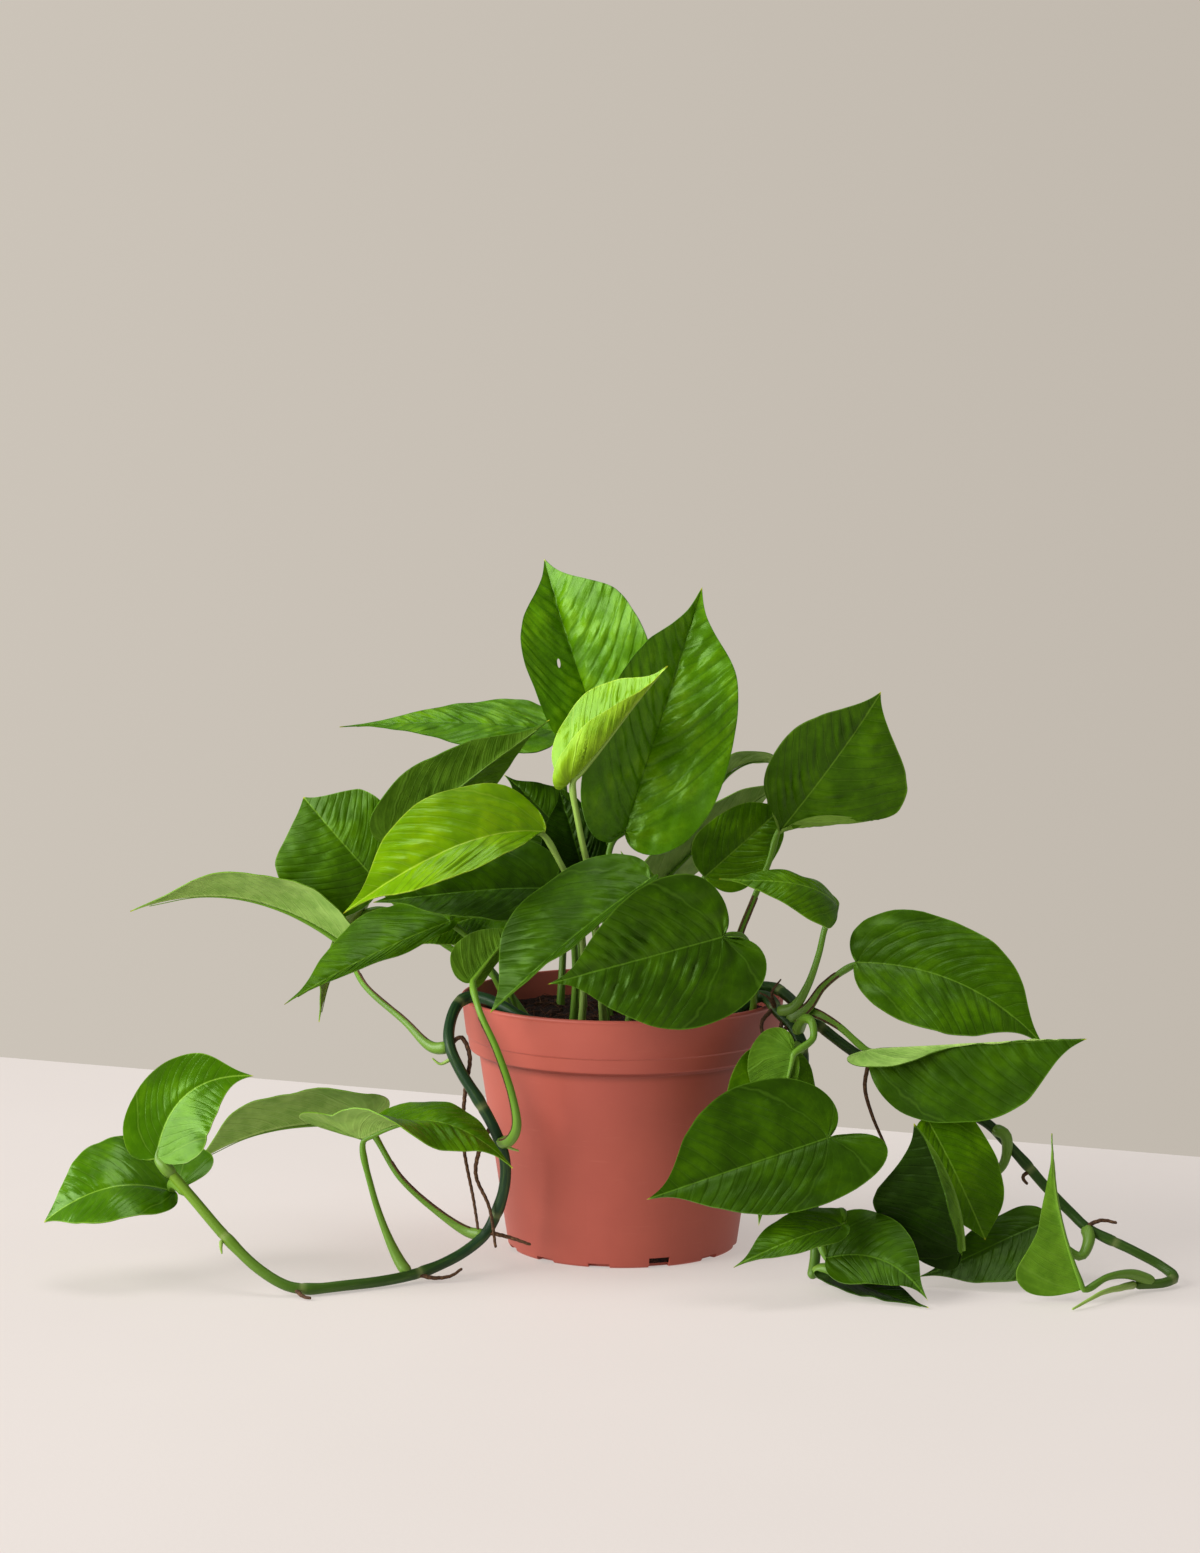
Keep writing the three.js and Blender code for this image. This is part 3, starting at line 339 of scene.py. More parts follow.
        vine="vine_left", looks=("mid", "silver", 0.7),
        stalk=[(-63, -66, 19), (-70, -62, 19), (-84, -58, 27), (-102, -52, 42)], base=(-118, -42, 66),
        tip=(-196, -46, 48), face=(0, 0.2, 1), half=(23, 20), rise=(8, 11), fold=(46, 30), curl=(-12, -10),
        lobe=(0.15, 0.12), full=(1.3, 1)),
    "vine_middle": leaf_values(
        vine="vine_left", looks=("mid", "silver", 0.8),
        stalk=[(-97, -82.5, 4), (-101, -80, 9), (-107, -77, 21), (-114, -73, 41)], base=(-119, -70, 64),
        tip=(-50, -82, 53), face=(0, -0.25, 1), half=(18, 20), rise=(22, 21), fold=(10, 75),
        fold_end=(10, -10), curl=(-10, -20), wave=0.6, lobe=(0.15, 0.3), full=(0.8, 0.8)),
}

# The growing tip of the right vine, a leaf still rolled into a spike
ROLLED_LEAF = [(229, -99, 3.4), (222, -108, 4.6), (213, -119, 5), (205, -127, 3.4), (197, -134, 1)]
ROLLED_LEAF_RADIUS = 1.9

# The share of its stalk, from and to, along which a leaf's sheath has dry brown edges
DRY_MARGINS = {
    "front_stem": (0.05, 0.8), "vine_arching": (0.1, 0.75), "left_far": (0.15, 0.8), "right_high": (0.3, 0.7),
    "right_upper": (0.1, 0.75), "right_lower": (0.1, 0.6), "front_left": (0.0, 0.6)}

# Small stubs at the nodes: their radius and lines
STUBS = {
    "node_stubs": (1.2, [
        [(-76, -60, 101), (-80.7, -60, 97.5), (-83.4, -60, 96.6), (-87, -60, 99.3)],
        [(-56, -70, 62.5), (-51.4, -70, 59.8), (-47.3, -70, 58.4)],
        [(-180, -99, 24), (-180.2, -100, 21), (-179.8, -100, 17.8)]]),
    "dry_scraps": (1.1, [
        [(70, -46, 119), (68, -50, 128), (72, -52, 134.4)],
        [(70, -46, 119), (66, -52, 126), (62, -54, 128.5)]]),
}

# The small see-through slit in a leaf: a place in it, the half sizes of the cut and its tilt in degrees
SLITS = {"crown_back": ((-30, 26, 272), (0.75, 14, 2.2), -8)}


# Curves and surfaces as arrays of points, in millimetres

def unit(vectors):
    vectors = np.asarray(vectors, float)
    return vectors / np.maximum(np.linalg.norm(vectors, axis=-1, keepdims=True), 1e-9)


def smooth_line(points, per_span=16):
    """Points close together on a centripetal curve through the given ones."""
    points = np.asarray(points, float)
    ends = (2 * points[0] - points[1], 2 * points[-1] - points[-2])
    around = np.vstack([ends[0], points, ends[1]])
    line = []
    for p0, p1, p2, p3 in zip(around, around[1:], around[2:], around[3:]):
        d0, d1, d2 = (np.linalg.norm(b - a) ** 0.5 for a, b in ((p0, p1), (p1, p2), (p2, p3)))
        start = ((p1 - p0) / d0 - (p2 - p0) / (d0 + d1) + (p2 - p1) / d1) * d1
        end = ((p2 - p1) / d1 - (p3 - p1) / (d1 + d2) + (p3 - p2) / d2) * d1
        t = np.linspace(0, 1, per_span, endpoint=False)[:, None]
        cubic = (2 * p1 - 2 * p2 + start + end) * t ** 3
        line.append(cubic + (3 * p2 - 3 * p1 - 2 * start - end) * t ** 2 + start * t + p1)
    return np.vstack([*line, points[-1:]])


def bezier(controls, t):
    """Places on a cubic curve for an array of shares t, and the ways it runs there."""
    a, b, c, d = (np.asarray(p, float) for p in controls)
    t = np.asarray(t, float)[..., None]
    place = a * (1 - t) ** 3 + 3 * b * (1 - t) ** 2 * t + 3 * c * (1 - t) * t ** 2 + d * t ** 3
    way = (b - a) * (1 - t) ** 2 + 2 * (c - b) * (1 - t) * t + (d - c) * t ** 2
    return place, unit(way)


def smooth_step(low, high, value):
    t = np.clip((value - low) / (high - low), 0, 1)
    return t * t * (3 - 2 * t)


def bell(offset, width):
    """1 where the offset is 0, and fading to 0 on both sides of it."""
    return np.exp(-(offset / width) ** 2)


def rough(points, size, seed=0):
    """Smooth noise from -1 to 1 for an array of places, its lumps about size across."""
    shift = Vector((seed * 7.3, seed * 3.1, seed * 5.7))
    return np.array([noise.noise(Vector(p) / size + shift) for p in points])


class Route:
    """A line with a distance along it and a frame that turns as little as it can."""

    def __init__(self, points, first_side=(0, 0, 1), from_end=False):
        self.line = smooth_line(points)
        steps = np.linalg.norm(np.diff(self.line, axis=0), axis=1)
        self.distance = np.concatenate([[0], np.cumsum(steps)])
        self.length = self.distance[-1]
        self.ways = unit(np.gradient(self.line, self.distance, axis=0))
        self.sides = np.zeros_like(self.ways)
        order = range(len(self.ways))
        side = np.asarray(first_side, float)
        for i in reversed(order) if from_end else order:
            side = unit(side - self.ways[i] * np.dot(side, self.ways[i]))
            self.sides[i] = side

    def at(self, distance):
        """Centre, side and other side at an array of distances."""
        centre, way, side = (
            np.column_stack([np.interp(distance, self.distance, column) for column in rows.T])
            for rows in (self.line, self.ways, self.sides))
        way = unit(way)
        side = unit(side - way * np.sum(side * way, axis=1, keepdims=True))
        return centre, side, np.cross(way, side)

    def taper(self, start, end):
        """A radius that changes evenly along the route, as a function of the distance."""
        return lambda distance: start + (end - start) * distance / self.length


def outline(share, lobe, peak, full, slim, drip):
    """Half a flat blade's outline, from its notch round the lobe to the tip, in shares of its size."""
    flank = 1 - peak
    lobe_edge = [(0, 0), (-1.5 * lobe, 0.1), (-1.2 * lobe, 1), (peak, 1)]
    flank_edge = [
        (peak, 1), (peak + flank * (0.33 + 0.32 * full), 1),
        (peak + flank * (0.63 + 0.1 * full), 0.08 + 0.28 * full), (1, 0)]
    round_lobe = bezier(lobe_edge, np.clip(share / LOBE_SHARE, 0, 1))[0]
    along_flank = bezier(flank_edge, np.clip((share - LOBE_SHARE) / (1 - LOBE_SHARE), 0, 1))[0]
    edge = np.where((share <= LOBE_SHARE)[:, None], round_lobe, along_flank)
    edge[:, 1] *= 1 - drip * smooth_step(0.7, 0.95, edge[:, 0])
    edge[:, 1] *= 1 - slim * smooth_step(0.15, 0.45, edge[:, 0])
    return edge


class Blade:
    """The bent blade of one leaf: its midrib and the surface round it, as the frame has it."""

    def __init__(self, leaf):
        self.leaf = leaf
        base, tip, face = (np.array(leaf[key], float) for key in ("base", "tip", "face"))
        chord = tip - base
        self.along = unit(chord)
        self.up = unit(face - self.along * np.dot(face, self.along))
        side = np.cross(self.up, self.along) * leaf["sway"]
        near, far = leaf["rise"]
        self.midrib = [base, base + chord * 0.33 + self.up * near + side,
                       base + chord * 0.67 + self.up * far + side, tip]
        places = bezier(self.midrib, np.linspace(0, 1, 201))[0]
        self.length = np.linalg.norm(np.diff(places, axis=0), axis=1).sum()

    def at(self, x, y, lift=0):
        """Places from arrays of flat places, x along the midrib and y to the left of it."""
        x, y = np.broadcast_arrays(np.asarray(x, float), np.asarray(y, float))
        share = np.clip(x / self.length, 0, 1)
        place, tangent = bezier(self.midrib, share)
        normal = unit(self.up - tangent * (tangent @ self.up)[..., None])
        left = np.cross(normal, tangent)
        half = np.where(y >= 0, 0, 1)
        width, fold, fold_end, curl = (
            np.array(self.leaf[key], float)[half] for key in ("half", "fold", "fold_end", "curl"))
        reach = np.abs(y) / width
        fold = fold + (fold_end - fold) * smooth_step(0, 0.6, share)
        slope = np.radians(fold + curl * reach / 2)
        # The left half's width also says where the waves of a leaf's edge start, so that no two are alike
        phase = 2 * math.pi * (WAVE_COUNT * share + 0.3 * half) + self.leaf["half"][0]
        ripple = self.leaf["wave"] * reach ** 2 * np.sin(phase)
        onward = np.where((x < 0)[..., None], self.along, tangent)
        place = place + onward * (x - share * self.length)[..., None]
        place = place + left * (y * np.cos(slope))[..., None]
        return place + normal * (np.abs(y) * np.sin(slope) + ripple + lift)[..., None]


# Meshes, each from a primitive whose corners are moved into place

def deselect():
    bpy.ops.object.select_all(action="DESELECT")


def select(*pieces):
    deselect()
    for piece in pieces:
        piece.select_set(True)
    bpy.context.view_layer.objects.active = pieces[0]


def values_of(rows, field, kind=float, per_row=1):
    """One field of all of a mesh's rows, such as the places of its vertices."""
    values = np.empty(len(rows) * per_row, kind)
    rows.foreach_get(field, values)
    return values.reshape(-1, per_row) if per_row > 1 else values


def corners_of(mesh):
    return values_of(mesh.vertices, "co", per_row=3)


def move_corners(mesh, places):
    mesh.vertices.foreach_set("co", np.ascontiguousarray(places, float).ravel())
    mesh.update()


def add_map(mesh, name, across, up):
    """A UV map from two values for each corner."""
    layer = mesh.uv_layers.new(name=name)
    corner = values_of(mesh.loops, "vertex_index", int)
    layer.data.foreach_set("uv", np.column_stack([across[corner], up[corner]]).ravel())


def grid(name, along, across, surface):
    """A grid primitive, its corners moved to what surface gives for the shares u along and v across.
    surface returns places and the values of the two UV maps, pattern and size."""
    deselect()
    bpy.ops.mesh.primitive_grid_add(x_subdivisions=along, y_subdivisions=across, size=1)
    piece = bpy.context.object
    piece.name = piece.data.name = name
    mesh = piece.data
    flat = corners_of(mesh)
    places, pattern, size = surface(flat[:, 0] + 0.5, flat[:, 1] + 0.5)
    move_corners(mesh, places * MM)
    mesh.uv_layers.remove(mesh.uv_layers[0])
    add_map(mesh, "pattern", *pattern)
    add_map(mesh, "size", *size)
    return piece


def merge(piece, gap=0.004):
    """Joins corners that meet, as at a seam or a pole."""
    select(piece)
    bpy.ops.object.mode_set(mode="EDIT")
    bpy.ops.mesh.select_all(action="SELECT")
    bpy.ops.mesh.remove_doubles(threshold=gap * MM)
    bpy.ops.object.mode_set(mode="OBJECT")


def apply(piece, kind, **settings):
    """Adds a modifier with these settings and applies it."""
    select(piece)
    modifier = piece.modifiers.new(kind.lower(), kind)
    for key, value in settings.items():
        setattr(modifier, key, value)
    bpy.ops.object.modifier_apply(modifier=modifier.name)


def cut(piece, cutter):
    apply(piece, "BOOLEAN", operation="DIFFERENCE", object=cutter, solver="EXACT")
    bpy.data.objects.remove(cutter)


def join(pieces, name=None):
    select(*pieces)
    bpy.ops.object.join()
    if name:
        pieces[0].name = pieces[0].data.name = name
    return pieces[0]


def finish_piece(piece, skin=None, smooth_to=50, node=None):
    """A finished piece: its skin, the angle in degrees up to which its faces are shaded as one, the body
    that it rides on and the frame's node that it stands for."""
    if skin:
        piece.data.materials.append(skin)
    if smooth_to:
        select(piece)
        bpy.ops.object.shade_smooth_by_angle(angle=math.radians(smooth_to))
    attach(piece, "root")
    if node:
        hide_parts(node)


def tube(name, route, radius, sides, spacing, section=None):
    """A round-ended tube along a route. radius is a function of an array of distances, and section of
    distances and angles, which makes it other than round."""
    ends = radius(np.array([0, route.length]))
    cap_turns = np.linspace(0, math.pi / 2, 4)[:-1]
    cap, closing = 1 - np.cos(cap_turns), np.sin(cap_turns)
    body = np.linspace(ends[0], route.length - ends[1], max(4, int(route.length / spacing)))
    stations = np.concatenate([cap * ends[0], body, route.length - cap[::-1] * ends[1]])
    share = np.concatenate([closing, np.ones(len(body)), closing[::-1]])
    last = len(stations) - 1

    def surface(u, v):
        index = np.rint(u * last).astype(int)
        angle = -2 * math.pi * v
        distance = stations[index]
        centre, side, other = route.at(distance)
        reach = radius(distance) * share[index]
        if section:
            reach = reach * section(distance, angle)
        places = centre + side * (reach * np.cos(angle))[:, None] + other * (reach * np.sin(angle))[:, None]
        return places, (distance / route.length, v), (distance / 10, v * 0.6)

    piece = grid(name, last, sides, surface)
    merge(piece)
    return piece


def lathe(name, profile, sides, lift=None):
    """A profile of radii and heights turned round Z. It runs up the outside, so faces look out."""
    profile = np.asarray(profile, float)
    run = np.concatenate([[0], np.cumsum(np.linalg.norm(np.diff(profile, axis=0), axis=1))])
    last = len(profile) - 1

    def surface(u, v):
        index = np.rint(u * last).astype(int)
        angle = -2 * math.pi * v
        radius, height = profile[index, 0], profile[index, 1]
        places = np.column_stack([radius * np.cos(angle), radius * np.sin(angle), height])
        if lift:
            places = lift(places)
        return places, (run[index] / run[-1], v), (run[index] / 10, v * 20)

    piece = grid(name, last, sides, surface)
    merge(piece)
    return piece


def rounded(corners, radius, steps=3):
    """A profile with each inner corner replaced by a small arc."""
    corners = np.asarray(corners, float)
    points = [corners[0]]
    for before, corner, after in zip(corners, corners[1:], corners[2:]):
        reach = min(radius, np.linalg.norm(corner - before) / 2.2, np.linalg.norm(after - corner) / 2.2)
        start = corner + unit(before - corner) * reach
        end = corner + unit(after - corner) * reach
        for t in np.linspace(0, 1, steps + 1):
            points.append(start * (1 - t) ** 2 + 2 * corner * t * (1 - t) + end * t ** 2)
    return np.array([*points, corners[-1]])


# Finishes, all procedural

def rgb(red, green, blue):
    """A colour seen on a screen, 0 to 255, as the linear colour that shaders take."""
    linear = [((c / 255 + 0.055) / 1.055) ** 2.4 if c > 10.3 else c / 255 / 12.92 for c in (red, green, blue)]
    return (*linear, 1)


class Nodes:
    """A tree of shader nodes, and short ways to add to it."""

    def __init__(self, tree):
        self.tree = tree

    def feed(self, socket, value):
        """A link where the value is another node's output, and otherwise the socket's own value."""
        if isinstance(value, bpy.types.NodeSocket):
            self.tree.links.new(value, socket)
        else:
            socket.default_value = value

    def add(self, kind, inputs=(), **settings):
        node = self.tree.nodes.new("ShaderNode" + kind)
        for key, value in settings.items():
            setattr(node, key, value)
        for key, value in dict(inputs).items():
            self.feed(node.inputs[key], value)
        return node

    def math(self, operation, first, second=0.0, third=0.0):
        return self.add("Math", {0: first, 1: second, 2: third}, operation=operation).outputs[0]

    def times(self, first, second):
        return self.math("MULTIPLY", first, second)

    def plus(self, first, second, share):
        """The first value with a share of the second added to it."""
        return self.math("MULTIPLY_ADD", second, share, first)

    def span(self, value, low, high, to_low=0.0, to_high=1.0, smooth=True):
        settings = {"Value": value, "From Min": low, "From Max": high, "To Min": to_low, "To Max": to_high}
        return self.add(
            "MapRange", settings, interpolation_type="SMOOTHSTEP" if smooth else "LINEAR").outputs[0]

    def noise(self, place, scale, detail=2.0, roughness=0.5):
        settings = {"Vector": place, "Scale": scale, "Detail": detail, "Roughness": roughness}
        return self.add("TexNoise", settings).outputs["Fac"]

    def stretch(self, place, *scale):
        """Places for a pattern, closer together or wider apart along each axis."""
        return self.add("Mapping", {"Vector": place, "Scale": scale}).outputs[0]

    def mix(self, share, first, second):
        return self.add("Mix", {0: share, 6: first, 7: second}, data_type="RGBA").outputs[2]

    def ramp(self, value, *stops):
        node = self.add("ValToRGB", {"Fac": value})
        band = node.color_ramp
        while len(band.elements) < len(stops):
            band.elements.new(0.5)
        for element, (place, colour) in zip(band.elements, stops):
            element.position = place
            element.color = colour
        return node.outputs[0]

    def map(self, name):
        """A UV map of the piece as (across, up, both)."""
        both = self.add("UVMap", uv_map=name).outputs[0]
        across, up, _ = self.add("SeparateXYZ", {0: both}).outputs
        return across, up, both

    def place(self):
        """A point's own place in metres."""
        return self.add("TexCoord").outputs["Object"]

    def bump(self, height, depth, under=None):
        """Relief of a depth in millimetres, over another if one is given."""
        settings = {"Height": height, "Distance": depth * MM, "Strength": 1.0}
        if under:
            settings["Normal"] = under
        return self.add("Bump", settings).outputs[0]


class Finish(Nodes):
    """A material with a principled shader."""

    def __init__(self, name, roughness, specular):
        self.material = bpy.data.materials.new(name)
        self.material.use_nodes = True
        super().__init__(self.material.node_tree)
        self.shader = self.tree.nodes["Principled BSDF"]
        self.shader.inputs["Roughness"].default_value = roughness
        self.shader.inputs["Specular IOR Level"].default_value = specular

    def set(self, **sockets):
        for name, value in sockets.items():
            self.feed(self.shader.inputs[name.replace("_", " ").title()], value)
        return self.material


# The colour of the sheen on leaves, and of the dry point at their tips
LEAF_SHEEN = (0.6, 1.0, 0.3, 1)
TIP_YELLOW = rgb(176, 178, 40)


def leaf_veins(finish):
    """The pattern of a blade. side and fine are 0 on a side vein and on a fine one, off_rib and rim say how
    far a point is from the midrib and towards the rim, and quilt is the flesh that swells between veins."""
    vein, across, _ = finish.map("pattern")
    _, across_cm, flat = finish.map("size")
    sway = finish.noise(flat, 0.9, 2)
    wandering = finish.plus(vein, sway, 0.35)
    finer = finish.plus(finish.times(vein, 5.0), sway, 0.8)
    outward = finish.plus(finish.times(across_cm, 1.1), sway, 0.5)
    cells = finish.add("CombineXYZ", {0: wandering, 1: outward}).outputs[0]
    pillows = finish.add(
        "TexVoronoi", {"Vector": cells, "Scale": 1.0, "Smoothness": 0.7, "Randomness": 0.85},
        voronoi_dimensions="2D", feature="SMOOTH_F1").outputs["Distance"]
    strength = finish.span(finish.noise(flat, 0.55, 2), 0.35, 0.65, 0.35, 1.0)
    return dict(
        vein=vein, flat=flat,
        side=finish.math("PINGPONG", wandering, 0.5),
        fine=finish.math("PINGPONG", finer, 0.5),
        off_rib=finish.math("ABSOLUTE", across_cm),
        rim=finish.math("ABSOLUTE", across),
        quilt=finish.times(finish.math("SUBTRACT", 0.8, pillows), strength))


def upper_side(name, deep, mid, light, rib, gloss=0.26, shine=0.25, quilting=0.5, creases=0.4):
    """The glossy upper side of a leaf, with fine pale veins, painted shade where its side veins sink and
    painted light where its flesh swells between them.
    quilting is how far the flesh swells between the veins, and creases how far the veins sink, in mm."""
    finish = Finish(name, gloss, shine)
    finish.set(specular_tint=LEAF_SHEEN)
    v = leaf_veins(finish)
    line = finish.span(v["side"], 0.0, 0.05, 1.0, 0.0)
    shade = finish.span(v["side"], 0.0, 0.2, 1.0, 0.0)
    hair = finish.span(v["fine"], 0.0, 0.16, 1.0, 0.0)
    patch = finish.noise(v["flat"], 0.5, 3, 0.6)
    mottle = finish.noise(v["flat"], 2.6, 3, 0.6)
    grain = finish.noise(v["flat"], 26.0, 2, 0.6)
    lightness = finish.plus(finish.span(patch, 0.25, 0.75, 0.2, 0.55), mottle, 0.3)
    # Painted shade: the colour is darker along the side veins, where they sink into the blade
    lightness = finish.plus(lightness, shade, -0.14)
    lightness = finish.plus(lightness, hair, 0.05)
    # Painted light and shade: the flesh is lighter where it swells between the veins and darker where it dips
    # to them
    lightness = finish.plus(lightness, finish.span(v["quilt"], 0.0, 0.5, -0.06, 0.06), 1.0)
    colour = finish.ramp(lightness, (0.15, rgb(*deep)), (0.52, rgb(*mid)), (0.95, rgb(*light)))
    rib = rgb(*rib)
    colour = finish.mix(finish.times(line, 0.22), colour, rib)
    colour = finish.mix(finish.span(v["off_rib"], 0.015, 0.05, 0.55, 0.0), colour, rib)
    colour = finish.mix(finish.span(v["rim"], 0.978, 0.995, 0.0, 0.5), colour, rib)
    tip = finish.span(v["vein"], VEIN_COUNT * 0.975, VEIN_COUNT * 0.998, 0.0, 0.9)
    colour = finish.mix(tip, colour, TIP_YELLOW)
    sheen = finish.math("MULTIPLY_ADD", finish.noise(v["flat"], 5.0, 3, 0.65), 0.22, gloss - 0.11)
    dents = finish.plus(finish.times(hair, -0.05), shade, -0.28)
    relief = finish.bump(finish.plus(dents, mottle, 0.12), creases)
    relief = finish.bump(v["quilt"], quilting, relief)
    relief = finish.bump(grain, 0.02, relief)
    return finish.set(base_color=colour, roughness=sheen, normal=relief)


def lower_side(name, deep, light, rib, gloss=0.55):
    """The dull, paler lower side of a leaf, its veins raised."""
    finish = Finish(name, gloss, 0.3)
    finish.set(specular_tint=LEAF_SHEEN)
    v = leaf_veins(finish)
    line = finish.span(v["side"], 0.0, 0.08, 1.0, 0.0)
    hair = finish.span(v["fine"], 0.0, 0.3, 1.0, 0.0)
    patch = finish.noise(v["flat"], 0.7, 3, 0.6)
    mottle = finish.noise(v["flat"], 4.0, 3, 0.6)
    lightness = finish.plus(finish.span(patch, 0.3, 0.7, 0.1, 0.6), hair, 0.12)
    lightness = finish.plus(lightness, mottle, 0.3)
    colour = finish.ramp(lightness, (0.15, rgb(*deep)), (0.85, rgb(*light)))
    rib = rgb(*rib)
    colour = finish.mix(finish.times(line, 0.2), colour, rib)
    colour = finish.mix(finish.span(v["rim"], 0.975, 0.995, 0.0, 0.5), colour, rib)
    colour = finish.mix(finish.span(v["off_rib"], 0.04, 0.12, 0.5, 0.0), colour, rib)
    ridges = finish.plus(finish.times(hair, 0.2), line, 0.6)
    relief = finish.bump(finish.plus(ridges, v["quilt"], 1.0), 0.35)
    relief = finish.bump(finish.noise(v["flat"], 30.0, 2), 0.04, relief)
    return finish.set(base_color=colour, normal=relief)


def stem_skin(name, foot, body, neck, dark, gloss=0.36):
    """A stalk: its green changes along it, with faint ridges, streaks and specks."""
    finish = Finish(name, gloss, 0.3)
    along = finish.map("pattern")[0]
    flat = finish.map("size")[2]
    streak = finish.noise(finish.stretch(flat, 0.5, 14.0, 1.0), 1.6, 3, 0.6)
    speck = finish.noise(flat, 9.0, 2, 0.6)
    colour = finish.ramp(along, (0.0, foot), (0.35, body), (1.0, neck))
    colour = finish.mix(finish.span(streak, 0.5, 0.75, 0.0, 0.45), colour, dark)
    colour = finish.mix(finish.span(speck, 0.62, 0.8, 0.0, 0.35), colour, neck)
    relief = finish.bump(finish.plus(finish.times(speck, 0.2), streak, 0.8), 0.25)
    return finish.set(base_color=colour, normal=relief)


def vine_skin(name, foot, body, end):
    """A vine: greener and paler towards its young end, with streaks, specks and pale scar rings."""
    finish = Finish(name, 0.42, 0.25)
    along = finish.map("pattern")[0]
    flat = finish.map("size")[2]
    ring = finish.add("Attribute", attribute_name="ring").outputs["Fac"]
    streak = finish.noise(finish.stretch(flat, 0.35, 10.0, 1.0), 1.5, 3, 0.6)
    speck = finish.noise(flat, 6.0, 3, 0.7)
    colour = finish.ramp(along, (0.0, foot), (0.55, foot), (0.78, body), (1.0, end))
    colour = finish.mix(finish.span(streak, 0.45, 0.8, 0.0, 0.35), colour, rgb(98, 132, 44))
    colour = finish.mix(finish.span(speck, 0.6, 0.8, 0.0, 0.3), colour, rgb(40, 56, 30))
    colour = finish.mix(finish.times(ring, 0.4), colour, rgb(150, 160, 96))
    relief = finish.bump(finish.plus(finish.times(speck, 0.3), streak, 0.8), 0.3)
    return finish.set(base_color=colour, normal=relief)


def root_bark():
    finish = Finish("aerial_root", 0.75, 0.25)
    speck = finish.noise(finish.map("size")[2], 7.0, 4, 0.7)
    colour = finish.ramp(speck, (0.3, rgb(44, 27, 16)), (0.55, rgb(88, 60, 38)), (0.75, rgb(132, 102, 66)))
    return finish.set(base_color=colour, normal=finish.bump(speck, 0.3))


def pot_plastic():
    """Moulded plastic: slightly cloudy, with specks, faint scuffs round it and shade under the rim band."""
    finish = Finish("terracotta_plastic", 0.5, 0.4)
    place = finish.place()
    cloud = finish.noise(place, 14.0, 4, 0.6)
    speck = finish.noise(place, 900.0, 2, 0.5)
    scuff = finish.noise(finish.stretch(place, 60.0, 60.0, 700.0), 1.0, 3, 0.6)
    colour = finish.ramp(cloud, (0.3, rgb(168, 79, 65)), (0.7, rgb(180, 88, 71)))
    colour = finish.mix(finish.span(scuff, 0.62, 0.85, 0.0, 0.18), colour, rgb(206, 128, 104))
    colour = finish.mix(finish.span(speck, 0.66, 0.8, 0.0, 0.12), colour, rgb(140, 70, 58))
    _, _, height = finish.add("SeparateXYZ", {0: place}).outputs
    starts, full, fades, gone = (level * MM for level in BAND_SHADE)
    shade = finish.times(finish.span(height, starts, full), finish.span(height, fades, gone, 1.0, 0.0))
    colour = finish.mix(finish.times(shade, 0.55), colour, rgb(112, 50, 42))
    relief = finish.bump(scuff, 0.04, finish.bump(speck, 0.03))
    return finish.set(base_color=colour, roughness=finish.span(cloud, 0.2, 0.8, 0.44, 0.58), normal=relief)


def earth(name, dark, mid, light, scale):
    """Moist peat and coir, or a crumb of it."""
    finish = Finish(name, 0.9, 0.2)
    place = finish.place()
    lumps = finish.noise(place, scale, 6, 0.7)
    grain = finish.noise(place, scale * 5, 3, 0.6)
    mixed = finish.plus(finish.times(lumps, 0.5), grain, 0.5)
    colour = finish.ramp(mixed, (0.35, dark), (0.52, mid), (0.68, light))
    return finish.set(base_color=colour, normal=finish.bump(mixed, 1.2))


def coir():
    finish = Finish("coir", 0.8, 0.2)
    tone = finish.noise(finish.place(), 120.0, 2)
    colour = finish.ramp(tone, (0.3, rgb(62, 38, 26)), (0.6, rgb(100, 66, 46)), (0.75, rgb(146, 108, 80)))
    return finish.set(base_color=colour)


# The greens of the upper sides: the flesh where it is deepest, in the middle and lightest, and the rib
GREENS = {
    # This green is a darker copy of the leaf green, for leaves that lie deep in the plant's shade: painted
    # shade
    "dark": dict(
        deep=(9, 24, 0), mid=(17, 38, 0), light=(36, 64, 0), rib=(60, 94, 18), gloss=0.3, shine=0.16),
    "deep": dict(
        deep=(27, 51, 0), mid=(43, 75, 0), light=(67, 106, 0), rib=(94, 136, 34), gloss=0.34, shine=0.3),
    "mid": dict(deep=(44, 80, 0), mid=(68, 110, 0), light=(102, 148, 4), rib=(130, 174, 52)),
    # This green's rib is darker than its flesh: painted shade in the groove of the midrib; the same green
    # also darkens its side vein lines and its edge
    "crown": dict(
        deep=(50, 92, 0), mid=(76, 126, 0), light=(118, 168, 10), rib=(50, 92, 4), gloss=0.28, shine=0.42,
        quilting=1.25),
    "rich": dict(
        deep=(36, 65, 0), mid=(54, 91, 0), light=(84, 128, 2), rib=(112, 154, 42), gloss=0.3, shine=0.28),
    "fresh": dict(
        deep=(42, 80, 0), mid=(62, 107, 0), light=(92, 140, 6), rib=(142, 184, 60), gloss=0.18, shine=0.42,
        quilting=0.15, creases=0.12),
    "young": dict(
        deep=(84, 128, 0), mid=(110, 156, 0), light=(144, 184, 4), rib=(178, 206, 62), gloss=0.2, shine=0.5,
        quilting=0.8),
}

